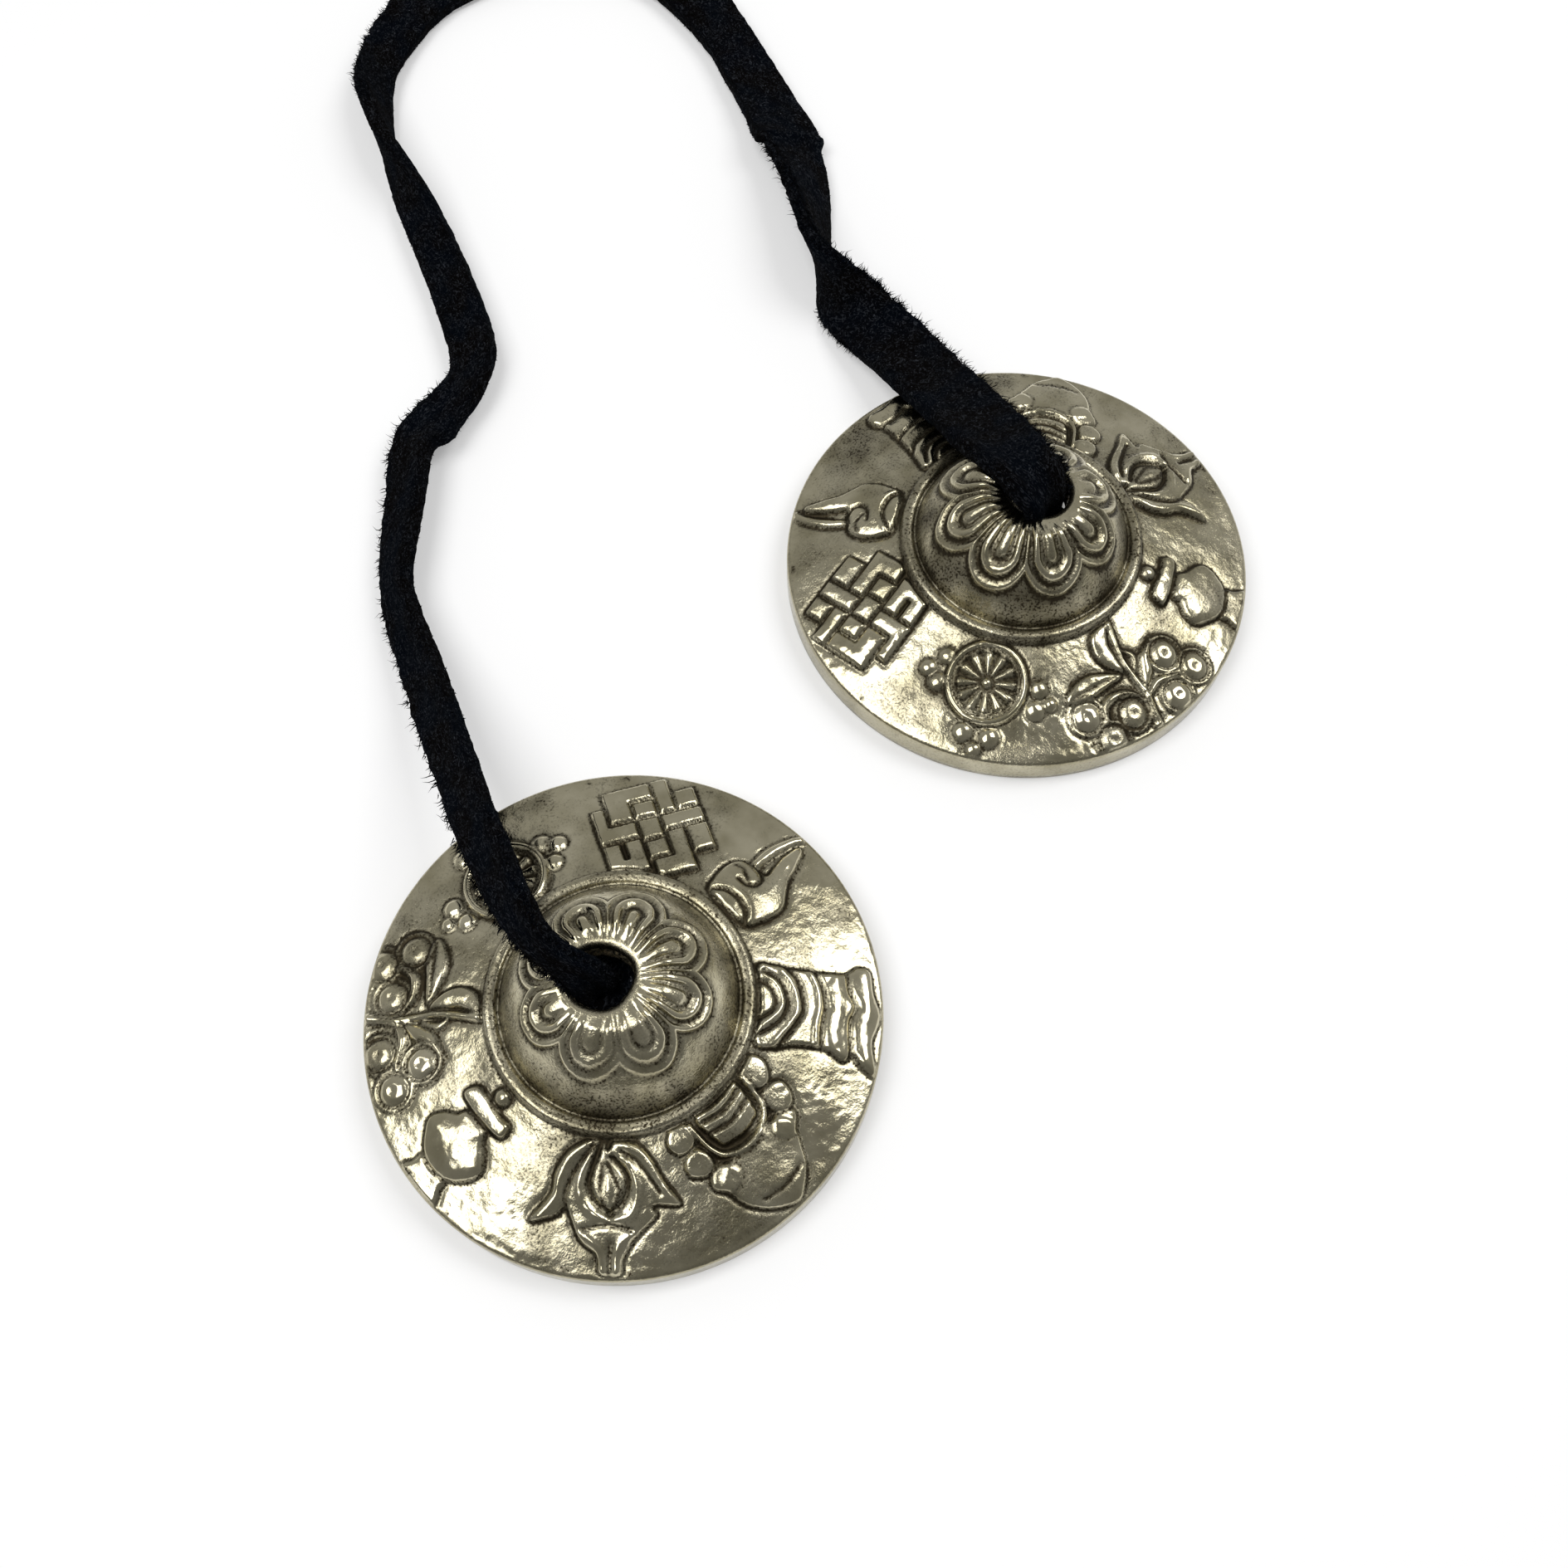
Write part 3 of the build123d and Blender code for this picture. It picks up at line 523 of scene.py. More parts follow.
casting = {  # sizes of the solids, but for the hole and its edge, which follow the photograph more closely
    "rim": 32.5, "wall": 4.2, "rimRound": 0.6, "rimBreak": 0.3, "land": 3.8, "fieldTop": 9.0,
    "beadIn": 14.75, "beadOut": 16.65, "beadTop": 10.6, "flankFoot": 9.7, "flankBulge": 1.3, "crown": 19.5,
    "crownRadius": 6.5, "hollowTop": 15.6, "hollowTopRadius": 4.55, "hollowFoot": (12.8, 7.15),
    "hollowBulge": 1.2, "underField": 5.2, "hole": 3.85, "holeRound": 0.85, "bore": (15.9, 18.5),
    "rimBend": (20, 90), "rimDrop": 0.03, "mouthBend": (0, 75), "holePull": 6, "beadHalf": 0.7,
    "waves": 0.15, "ripples": 0.0525, "grit": 0.03, "pores": 0.16, "chafing": 0.5,  # flaws and wear
    "beadLoss": 0.12, "beadWear": 0.5, "beadSmooth": 0.8, "wornLines": 0.45,
    "columns": 640, "rimRows": 4, "wallRows": 4, "boreRows": 8, "mouthRows": 4, "hollowRows": 11,
    "bossRings": (14.6, 38), "beadRings": (14.8, 16.8, 11), "fieldRings": (17.05, 62),
    "skirtRings": (26, 17.5, 6), "landRing": 30.5, "flareRing": 14.8,
}
tone = {  # how much patina each place keeps
    "rim": 0.1, "under": 0.3, "pitted": 0.22, "field": 0.06, "dips": 0.35, "bead": 0.42, "wornBead": 0.2,
    "wornBoss": 0.2, "clouds": 0.2, "specks": 0.12, "cloudShare": 1.3, "even": 0.85, "uneven": 0.3,
    # farShadeWay: the way across a disc towards its painted shade, which is away from the camera
    "beadSide": 0.6, "beadSides": [(14.65, 0.3), (16.85, 0.32)], "farShadeWay": (0.78, 0.62),
    "oxide": 0.45, "oxideSpots": 0.75,
}
rub = {"proud": 0.35, "rim": 0.3, "mouth": 0.4, "field": 0.36, "bead": 0.3}  # how far hands took it off
zone = {  # start and width of each zone, as distances in millimetres and, in the last row, as lift or noise
    "petals": (0.2, 2.4), "petalsEnd": (13.6, -0.3), "wornSpot": (7.65, -4.5), "signs": (0.1, 0.5),
    "signsEnd": (32.4, -0.5), "dents": (17, 2), "dentsEnd": (31.9, -1.5), "grit": (6, 3), "rim": (31, 1.2),
    "mouth": (7.2, -1.8), "polish": (21, 6), "pitted": (11.6, 1.2), "pittedEnd": (14.7, -0.4),
    # farShadeZone: where the painted shade on a disc's side away from the camera starts, and how far it grows
    "field": (20, -3), "clouds": (9, 3), "boss": (14, -2), "farShadeZone": (4, 14), "chips": (31, 0.7),
    "liftProud": (0, 0.3), "liftDips": (0, 0.2), "noisePolish": (-0.35, 0.7), "noiseChips": (0.62, 0.2),
}
grain = {  # size and seed of each noise
    "chafing": (2.6, 29), "waves": (6.0, 3), "ripples": (2.2, 7), "beadWear": (5.0, 15), "grit": (0.55, 5),
    "pores": (0.5, 25), "polish": (7.0, 19), "clouds": (4.0, 11), "specks": (1.5, 13), "uneven": (3.2, 17),
    "chips": (1.7, 23), "oxide": (0.4, 27),
}


def arcThrough(a, b, c):  # centre and radius of the circle through three points
    matrix = np.array([[b[0] - a[0], b[1] - a[1]], [c[0] - a[0], c[1] - a[1]]])
    squares = [p[0]**2 + p[1]**2 - a[0]**2 - a[1]**2 for p in (b, c)]
    centre = np.linalg.solve(2 * matrix, squares)
    return centre, math.dist(centre, a)


def swell(start, end, bulge):  # the middle of an arc that swells out by bulge
    run = math.dist(start, end)
    return ((start[0] + end[0]) / 2 + bulge * (end[1] - start[1]) / run,
            (start[1] + end[1]) / 2 - bulge * (end[0] - start[0]) / run)


def onArc(r, arc):
    return arc[0][1] + np.sqrt(np.maximum(arc[1] ** 2 - (r - arc[0][0]) ** 2, 0))


def topHeight(r):
    beadIn, beadOut, crown = casting["beadIn"], casting["beadOut"], casting["crown"]
    foot, crest = (beadIn, casting["flankFoot"]), (casting["crownRadius"], crown)
    boss = onArc(r, arcThrough(foot, swell(foot, crest, casting["flankBulge"]), crest))
    beadMiddle = ((beadIn + beadOut) / 2, casting["beadTop"])
    bead = onArc(r, arcThrough(foot, beadMiddle, (beadOut, casting["fieldTop"])))
    field = np.interp(r, [beadOut, casting["rim"]], [casting["fieldTop"], casting["wall"]])
    height = np.where(r < beadIn, boss, np.where(r < beadOut, bead, field))
    return np.where(r < casting["crownRadius"], crown, height)


def underHeight(r):
    foot, top = casting["hollowFoot"], (casting["hollowTopRadius"], casting["hollowTop"])
    hollow = onArc(r, arcThrough(foot, swell(foot, top, casting["hollowBulge"]), top))
    skirt = np.interp(r, [foot[0], casting["beadOut"], casting["rim"] - casting["land"]],
                      [foot[1], casting["underField"], 0])
    return np.where(r < top[0], top[1], np.where(r < foot[0], hollow, skirt))


def softened(values, steps):  # running mean over a window of rows and columns, round the disc
    size = 2 * steps + 1
    for axis, mode in ((0, "edge"), (1, "wrap")):
        pad = [(steps, steps) if k == axis else (0, 0) for k in (0, 1)]
        total = np.cumsum(np.pad(values, pad, mode=mode), axis)
        total = np.insert(total, 0, 0, axis)
        upper, lower = np.split(total, [size], axis)[1], np.split(total, [-size], axis)[0]
        values = (upper - lower) / size
    return values


def atHeights(flat, heights):  # level rings, each lifted to its own height
    return np.concatenate([flat, np.broadcast_to(heights[:, None, None], flat.shape[:2] + (1,))], -1)


def makeCymbal(name, node, turn, holeOffset, spread, patina, farSideShade, wear, wornAt):
    # spread: size of the rosette. dull: painted shade, darker on the disc's side away from the camera.
    # wornAt: where the rosette is worn down
    low, high = (np.array(corner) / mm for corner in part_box(node))
    centre = (low[:2] + high[:2]) / 2
    rim, hole, beadIn, beadOut = (casting[size] for size in ("rim", "hole", "beadIn", "beadOut"))
    theta = np.linspace(0, 2 * math.pi, casting["columns"], endpoint=False)
    unit = np.stack([np.cos(theta), np.sin(theta)], -1)
    chafed = casting["chafing"] * wear * lumps(unit * hole, *grain["chafing"])  # worn out of round

    def ringsAt(radii):  # rings round the hole near it, and round the axis further out
        share = 1 - ramp(np.array(radii), (hole, casting["holePull"]))
        shift = np.array(holeOffset) + chafed[:, None] * unit
        return share[:, None, None] * shift + np.array(radii)[:, None, None] * unit

    # the upper face: rings close together, lifted by the raised work along the casting's own slope
    mouth = hole + casting["holeRound"]
    edge = rim - casting["rimRound"]
    fieldFrom, fieldCount = casting["fieldRings"]
    face = ringsAt(np.concatenate([np.linspace(mouth, *casting["bossRings"]),
                                   np.linspace(*casting["beadRings"]),
                                   np.linspace(fieldFrom, edge, fieldCount)]))
    x, y = face[..., 0], face[..., 1]
    r = np.hypot(x, y)
    step = 0.02
    slope = (topHeight(r + step) - topHeight(r - step)) / (2 * step)
    c, s = cosSin(turn)
    px, py = x * c + y * s, y * c - x * s  # on the pattern, which the two discs carry turned
    flat = np.stack([px, py], -1)

    def mottle(kind):  # noise on the pattern, other on each disc
        size, seed = grain[kind]
        return lumps(flat, size, seed + turn)

    fromHole = np.hypot(x - holeOffset[0], y - holeOffset[1])
    onBoss = ramp(fromHole - mouth, zone["petals"]) * ramp(r, zone["petalsEnd"])
    worn = wear * ramp(np.hypot(x - wornAt[0], y - wornAt[1]), zone["wornSpot"])
    lift, lines = (values * onBoss for values in rosetteHeight(px / spread, py / spread))
    lift, lines = lift * (1 - worn), lines * (1 - casting["wornLines"] * worn)
    onField = ramp(r - beadOut, zone["signs"]) * ramp(r, zone["signsEnd"])
    for sign in signs:
        ca, sa = cosSin(sign["angle"])
        u, v = px * sa - py * ca, px * ca + py * sa - sign["radius"]
        inWindow = (np.abs(u) < sign["half"]) & (np.abs(v) < relief["reach"]) & (r > beadOut)
        raised, dark = liftSign(sign, u[inWindow], v[inWindow])
        lift[inWindow] = np.maximum(lift[inWindow], 0) + raised * onField[inWindow]
        lines[inWindow] = np.maximum(lines[inWindow], dark * onField[inWindow])
    free = ramp(r, zone["dents"]) * ramp(r, zone["dentsEnd"])
    dents = casting["waves"] * mottle("waves") + casting["ripples"] * mottle("ripples")
    onBead = bell(r - (beadIn + beadOut) / 2, casting["beadHalf"])
    beadWear = casting["beadWear"] * wear * (0.5 + 0.5 * lumps(flat, *grain["beadWear"]))
    lift = lift - onBead * (casting["beadLoss"] + beadWear)
    grit = casting["grit"] * lumps(flat, *grain["grit"]) * (1 - casting["beadSmooth"] * onBead)
    lift = lift + dents * free + grit * ramp(fromHole, zone["grit"])
    norm = np.sqrt(1 + slope ** 2)
    push = -slope / norm * lift / np.maximum(r, 1)
    top = np.stack([x + x * push, y + y * push, topHeight(r) + lift / norm], -1)

    # the rest of the closed surface, ring by ring: rim, wall, underside and the wall of the hole
    bend = np.radians(np.linspace(*casting["rimBend"], casting["rimRows"]))
    lower = topHeight(np.array(edge)) - casting["rimDrop"]
    rimHeights = lower - casting["rimRound"] * (1 - np.cos(bend))
    wallHeights = np.linspace(rimHeights[-1], casting["rimBreak"], casting["wallRows"] + 1)[1:]
    outRadii = np.concatenate([edge + casting["rimRound"] * np.sin(bend), np.full(casting["wallRows"], rim)])
    out = atHeights(outRadii[:, None, None] * unit, np.concatenate([rimHeights, wallHeights]))
    under = ringsAt(np.concatenate([[rim - casting["rimBreak"], casting["landRing"], rim - casting["land"]],
                                    np.linspace(*casting["skirtRings"]), [beadOut, casting["flareRing"]],
                                    np.linspace(casting["hollowFoot"][0], hole, casting["hollowRows"])]))
    under = np.concatenate([under, underHeight(np.hypot(under[..., 0], under[..., 1]))[..., None]], -1)
    boreRows, mouthRows = casting["boreRows"], casting["mouthRows"]
    bend = np.radians(np.linspace(*casting["mouthBend"], mouthRows))
    boreHeights = np.concatenate([np.linspace(*casting["bore"], boreRows),
                                  casting["crown"] - casting["holeRound"] * (1 - np.sin(bend))])
    bore = ringsAt(np.concatenate([np.full(boreRows, hole), mouth - casting["holeRound"] * np.cos(bend)]))
    porous = np.stack(np.broadcast_arrays(boreHeights[:boreRows, None], theta * hole), -1)
    bore[:boreRows] = bore[:boreRows] + casting["pores"] * lumps(porous, *grain["pores"])[..., None] * unit
    surface = np.concatenate([top, out, under, atHeights(bore, boreHeights)])

    # patina stays along outlines and grooves, beside the bead, in the pitted ring round the rosette and in
    # clouds; it was rubbed off what stands above its surroundings, off the rim and off the edge of the hole.
    # Painted shade darkens the side of a disc away from the camera.
    proud = ramp(softened(lift, 1) - softened(lift, 6), zone["liftProud"]) * rub["proud"]
    proud = proud + ramp(r, zone["rim"]) * rub["rim"]
    proud = proud + ramp(fromHole, zone["mouth"]) * rub["mouth"]
    polish = ramp(r, zone["polish"]) * ramp(mottle("polish"), zone["noisePolish"])
    proud = proud + rub["field"] * polish + rub["bead"] * onBead
    beadSide = sum(bell(r - place, width) for place, width in tone["beadSides"])
    pitted = ramp(r, zone["pitted"]) * ramp(r, zone["pittedEnd"]) * tone["pitted"]
    pitted = pitted + tone["field"] * ramp(r, zone["field"])
    clouds = tone["clouds"] * mottle("clouds") + tone["specks"] * mottle("specks")
    base = patina + pitted + tone["cloudShare"] * clouds * ramp(r, zone["clouds"])
    base = base - tone["wornBoss"] * wear * ramp(r, zone["boss"])
    # painted shade: the side of the disc away from the camera is darkened
    farShadeX, farShadeY = tone["farShadeWay"]
    base = base + farSideShade * ramp(farShadeX * x + farShadeY * y, zone["farShadeZone"])
    concave = ramp(softened(lift, 2) - lift, zone["liftDips"]) * tone["dips"]
    uneven = tone["even"] + tone["uneven"] * mottle("uneven")
    lines = uneven * (lines + tone["beadSide"] * beadSide)
    chips = ramp(mottle("chips"), zone["noiseChips"]) * ramp(r, zone["chips"])
    recess = np.full(surface.shape[:2], tone["under"])
    beadShade = (tone["bead"] + tone["wornBead"] * wear) * onBead
    recess[: len(top)] = np.clip(base + concave + lines + beadShade, 0, 1)
    recess[: len(top)] = np.maximum(recess[: len(top)], chips)
    recess[len(top): len(top) + len(out)] = tone["rim"]
    oxide = np.zeros(surface.shape[:2])
    spots = tone["oxideSpots"] * lumps(porous, *grain["oxide"])
    oxide[-boreRows - mouthRows:-mouthRows] = np.clip(tone["oxide"] + spots, 0, 1)
    rubbed = np.zeros(surface.shape[:2])
    rubbed[: len(top)] = np.clip(proud, 0, 1)
    surface = surface + np.array([centre[0], centre[1], 0])
    faces = gridFaces(surface.shape[0], surface.shape[1], True, True)
    piece = makePiece(name, surface, faces, castBronze, "cast_bronze", recess=recess, rubbed=rubbed,
                      oxide=oxide)
    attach(piece, node)
    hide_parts(node)
    print(name, "made,", 2 * len(faces), "triangles")


makeCymbal("leftCymbalCasting", "left_cymbal", turn=0.0, holeOffset=(-0.95, 1.05), spread=1.0, patina=0.13,
           farSideShade=0.0, wear=0.65, wornAt=(-7.0, -6.0))
# the right disc gets painted shade on its side away from the camera
makeCymbal("rightCymbalCasting", "right_cymbal", turn=122.0, holeOffset=(1.6, -0.5), spread=1.07, patina=0.18,
           farSideShade=0.12, wear=0.15, wornAt=(7.0, 6.0))


# Strap

strap = {
    "width": 11.0, "thickness": 2.6, "steps": 20, "corner": 0.7, "around": 44, "floor": 0.03,
    # one edge is torn suede, the other cut clean but for two short stretches: place along it, roughness
    "tornEdge": [(0, 0.4), (14, 0.8), (100, 1.0), (114, 0.9), (120, 0.15), (296, 0.15), (302, 1.0),
                 (395, 0.9)],
    "cutEdge": [(0, 0.2), (168, 0.1), (178, 0.9), (194, 0.8), (204, 0.1), (326, 0.1), (330, 0.9), (337, 0.7),
                (341, 0.1)],
    "ragged": [(1.2, 0.22, 2), (0.5, 0.16, 4)],  # size, height and seed of the unevenness
    "edge": (0.8, 0.2), "cleanShare": 0.3, "tornShare": 1.4, "faceShare": 0.6,  # where it shows, and how much
    "sway": (0.03, 9),  # how much its width varies, and over what length
    "foldIn": (288.0, 8), "foldOut": (299.5, -3), "foldWider": 0.2,  # where it is folded sharply
    "crease": 0.8, "creaseAt": 297.5, "creaseLong": 1.0,
    "pucker": 107.5, "puckerLong": 2.4, "puckerWider": 0.24,  # where it bulges inside its first bend
    # the route over boss, rim and table: x, y, z, then roll in degrees, width and curl in degrees
    "route": [
        (-44.2, 1.4, 14.8, 30, 6.4, 120), (-44.4, 1.8, 18, 32, 5.6, 100), (-44.8, 3.2, 21, 38, 4.2, 70),
        (-45.3, 5.4, 22.4, 44, 3.7, 50), (-45.4, 8, 22.7, 44, 3.9, 45), (-44.6, 11.3, 22, 42, 4.7, 40),
        (-42.7, 16.3, 20.1, 38, 5.6, 35), (-40.3, 21.3, 17.9, 36, 6.1, 30), (-38, 26.5, 15.7, 36, 6.2, 25),
        (-33.5, 34.6, 12.4, 36, 6.4, 20), (-28, 44.8, 8.5, 36, 6.8, 20), (-23.4, 52.9, 5.8, 38, 6.4, 20),
        (-19.5, 60.3, 4.4, 42, 6, 15), (-15.5, 66.2, 4, 46, 5.3, 15), (-8.4, 71.8, 4, 34, 6.5, 12),
        (-3.8, 75.2, 4, 33, 6.6, 10), (2.6, 80.6, 3.8, 26, 6.8, 10), (7.4, 81.4, 3.5, 6, 7.3, 10),
        (12.4, 81.5, 3.3, 10, 7, 10), (17.6, 82.8, 3.2, 24, 6.5, 10), (21.4, 85.6, 3.1, 18, 7.2, 10),
        (24.4, 90.2, 2.8, 12, 7.5, 10), (28.2, 96.4, 2.7, 12, 7.2, 10), (31.6, 102.6, 2.9, 16, 6.8, 10),
        (35.2, 109.6, 3.4, 30, 6.5, 10), (38.4, 116.6, 4.4, 62, 6.4, 10), (42.2, 124.4, 4.8, 94, 6.4, 5),
        (46.8, 131, 4.4, 112, 6.6, 5), (52.2, 137.6, 3.5, 144, 6.4, 5), (60.5, 141.8, 2.4, 163, 7.2, 5),
        (71.5, 145, 2, 175, 8.6, 5), (84.5, 142.2, 2, 180, 9.8, 5), (97, 135.2, 2, 180, 10, 5),
        (102.7, 121.8, 2, 180, 9.8, 5), (101.2, 108.5, 2, 178, 9.2, 5), (97, 97.5, 2, 180, 8.4, 5),
        (92, 88, 2.2, 186, 8.8, 5), (86.8, 78.6, 2.9, 196, 9.6, 8), (82.6, 71.8, 3.8, 210, 10, 12),
        (77.4, 65.6, 4.8, 228, 10, 15), (71.4, 59.6, 5.3, 244, 10, 15), (66.8, 54.6, 5.2, 256, 10, 15),
        (63.6, 48.8, 4.7, 296, 10.2, 12), (62.6, 42.2, 4, 336, 10, 10), (61.1, 35.2, 4.9, 352, 10, 10),
        (57.9, 27.5, 7.2, 358, 10.2, 10), (53.2, 17.6, 12.1, 360, 10.4, 15), (48.5, 9.9, 17.1, 360, 10.2, 30),
        (45.3, 4.7, 21, 360, 9.3, 55), (42.9, -0.1, 22.7, 360, 8.2, 80), (42.6, -2.5, 19.6, 360, 7, 110),
        (43.2, -1.6, 15, 360, 6.6, 125),
    ],
    "loopFrom": 28, "loopTo": 34,  # the loop's bend starts and ends midway along these runs
}
fibre = {"perMm": 30.0, "thick": 0.095, "shortest": 0.2, "longest": 1.8, "rootIn": 0.35, "drop": 1.1,
         "stray": 0.55, "knee": 0.55, "tip": 0.45, "bend": 0.9, "taper": 0.6, "torn": 0.45,
         "spread": (1.5, 0.29), "floor": 0.02}
suedeMap = {"around": 26.0, "edge": 3.1}  # millimetres round the strap, and from its middle to its edges


def splinePoints(points):  # a smooth line led by the points, read back from Blender's own spline
    curve = bpy.data.curves.new("strapLine", "CURVE")
    curve.dimensions = "3D"
    spline = curve.splines.new("NURBS")
    spline.points.add(len(points) - 1)
    weighted = np.column_stack([points, np.ones(len(points))])
    spline.points.foreach_set("co", weighted.astype(np.float32).ravel())
    spline.order_u = 3
    spline.use_endpoint_u = True
    spline.resolution_u = strap["steps"]
    holder = addObject("strapLine", curve)
    bpy.context.view_layer.update()
    mesh = bpy.data.meshes.new_from_object(holder)
    line = np.zeros(3 * len(mesh.vertices), np.float32)
    mesh.vertices.foreach_get("co", line)
    bpy.data.objects.remove(holder)
    bpy.data.curves.remove(curve)
    bpy.data.meshes.remove(mesh)
    return line.reshape(-1, 3).astype(float)


def fibreTufts(roots, ways, lengths):
    # Each fibre is a bent three-sided spike: a ring at its root, a thinner one at its knee and a tip
    count = len(roots)
    aside = unitRows(np.cross(ways, chance.normal(size=(count, 3))))
    third = np.cross(ways, aside)
    turn = np.arange(3) * 2 * math.pi / 3
    ring = aside[:, None] * np.cos(turn)[:, None] + third[:, None] * np.sin(turn)[:, None]
    knee = roots + ways * lengths[:, None] * fibre["knee"]
    bent = ways + aside * chance.uniform(-fibre["bend"], fibre["bend"], (count, 1))
    bent = bent + third * chance.uniform(-fibre["bend"], fibre["bend"], (count, 1))
    tip = knee + bent * lengths[:, None] * fibre["tip"]
    points = np.concatenate([roots[:, None] + ring * fibre["thick"],
                             knee[:, None] + ring * fibre["thick"] * fibre["taper"], tip[:, None]], 1)
    first = points.shape[1] * np.arange(count)[:, None, None]
    quads = first + np.array([[0, 1, 4, 3], [1, 2, 5, 4], [2, 0, 3, 5]])
    ends = first + np.array([[3, 4, 6], [4, 5, 6], [5, 3, 6], [0, 2, 1]])
    return points, quads.reshape(-1, 4), ends.reshape(-1, 3)


def strapFrames(line, roll):
    # across is level and square to the way ahead; face is square to both; both then turn by the roll
    ahead = unitRows(np.gradient(line, axis=0))
    level = np.hypot(ahead[:, 0], ahead[:, 1])
    steady = np.flatnonzero(level > 0.45)  # where the strap is too steep, its heading comes from either side
    heading = np.unwrap(np.arctan2(ahead[steady, 1], ahead[steady, 0]))
    heading = np.interp(np.arange(len(line)), steady, heading)
    across = np.stack([np.sin(heading), -np.cos(heading), np.zeros(len(line))], -1)
    across = unitRows(across - ahead * np.sum(across * ahead, 1)[:, None])
    face = np.cross(across, ahead)
    c, s = np.cos(np.radians(roll))[:, None], np.sin(np.radians(roll))[:, None]
    return across * c + face * s, face * c - across * s


def strapSection(width, curl):
    # a rectangle with rounded corners, rolled up along its width into an arc of the curl's angle
    halfW, halfT, round90 = width[:, None] / 2, strap["thickness"] / 2, strap["corner"]
    q = np.arange(strap["around"]) / strap["around"] * 2 * (width[:, None] + strap["thickness"])
    u = np.clip(q, 0, 2 * halfW) - halfW - np.clip(q - 2 * (halfW + halfT), 0, 2 * halfW)
    v = np.clip(q - 2 * halfW, 0, 2 * halfT) - halfT - np.clip(q - 4 * halfW - 2 * halfT, 0, 2 * halfT)
    coreU = np.clip(u, -halfW + round90, halfW - round90)
    coreV = np.clip(v, -halfT + round90, halfT - round90)
    away = np.maximum(np.hypot(u - coreU, v - coreV), 1e-6)
    u, v = coreU + round90 * (u - coreU) / away, coreV + round90 * (v - coreV) / away
    bow = width[:, None] / np.maximum(np.radians(curl), 0.02)[:, None]
    sagged = bow - (bow - v) * np.cos(u / bow) - bow * (1 - np.cos(halfW / bow)) * 0.4
    return (bow - v) * np.sin(u / bow), sagged


def tornAt(place, side):  # how torn an edge is, by the side of the strap that it is on
    torn, cut = (np.interp(place, *np.array(strap[edge], float).T) for edge in ("tornEdge", "cutEdge"))
    return np.where(side < 0, torn, cut)


route = np.array(strap["route"], float)
line = splinePoints(route[:, :3])
roll, width, curl = splinePoints(route[:, 3:]).T
along = np.concatenate([[0], np.cumsum(np.linalg.norm(np.diff(line, axis=0), axis=1))])
across, faceWay = strapFrames(line, roll)
su, sv = strapSection(width, curl)
ringAt = np.stack([np.broadcast_to(along[:, None], su.shape), su, sv], -1)
ragged = sum(height * lumps(ringAt, size, seed) for size, height, seed in strap["ragged"])
edgeShare = ramp(np.abs(su) / (width[:, None] / 2), strap["edge"])
sway, swayLong = strap["sway"]
su = su * (1 + sway * lumps(np.stack([along / swayLong, along * 0], -1), 1.0, 6)[:, None])
tornShare = strap["cleanShare"] + strap["tornShare"] * tornAt(along[:, None], su)
su = su + np.sign(su) * edgeShare * ragged * tornShare
wider = strap["foldWider"] * ramp(along, strap["foldIn"]) * ramp(along, strap["foldOut"])
puckered = bell(along - strap["pucker"], strap["puckerLong"])[:, None]
su = su * (1 + wider)[:, None]
su = su + strap["puckerWider"] * np.maximum(su, 0) * puckered
sv = sv - strap["crease"] * bell(along - strap["creaseAt"], strap["creaseLong"])[:, None]
sv = sv + np.sign(sv) * ragged * (1 - edgeShare) * strap["faceShare"]
strapRings = line[:, None] + su[..., None] * across[:, None] + sv[..., None] * faceWay[:, None]
strapRings[..., 2] = np.maximum(strapRings[..., 2], strap["floor"])


def makeStrapPiece(name, first, last, nodes):
    rings = strapRings[first:last + 1]
    rows, columns = rings.shape[:2]
    faces = gridFaces(rows, columns, False, True)
    faces += [list(range(columns))[::-1], list(range((rows - 1) * columns, rows * columns))]
    length = along[last] - along[first]
    count = int(length * fibre["perMm"])
    at = first + chance.integers(1, rows - 1, count)
    side = chance.choice([-1.0, 1.0], count)
    half = np.where(side > 0, su[at].max(1), -su[at].min(1))
    drop = chance.uniform(-fibre["drop"], fibre["drop"], count)
    roots = line[at] + across[at] * (side * (half - fibre["rootIn"]))[:, None] + faceWay[at] * drop[:, None]
    ways = unitRows(across[at] * side[:, None] + chance.normal(0, fibre["stray"], (count, 3)))
    longer = fibre["torn"] + chance.gamma(*fibre["spread"], count)
    lengths = fibre["shortest"] + tornAt(along[at], side) * longer
    tufts, quads, ends = fibreTufts(roots, ways, np.minimum(lengths, fibre["longest"]))
    tufts[..., 2] = np.maximum(tufts[..., 2], fibre["floor"])
    base = rows * columns
    faces += (quads + base).tolist() + (ends + base).tolist()
    # the map is in millimetres: along the strap, and round it
    aroundUv = np.arange(columns) / columns * suedeMap["around"]
    ringUv = np.stack(np.broadcast_arrays(along[first:last + 1, None], aroundUv), -1).reshape(-1, 2)
    tuftUv = np.repeat(np.stack([along[at], suedeMap["edge"] * side + drop], -1), tufts.shape[1], 0)
    points = np.concatenate([rings.reshape(-1, 3), tufts.reshape(-1, 3)])
    piece = makePiece(name, points, faces, dyedSuede, "suede", np.concatenate([ringUv, tuftUv]))
    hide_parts(*nodes)
    print(name, f"made, {length:.1f} mm")
    return piece, length * mm, (line[first:last + 1] * mm).tolist()


def runMiddle(run):  # the ring at the middle of a run, which the spline passes through
    middle = (route[run, :3] + route[run + 1, :3]) / 2
    return int(np.argmin(np.linalg.norm(line - middle, axis=1)))


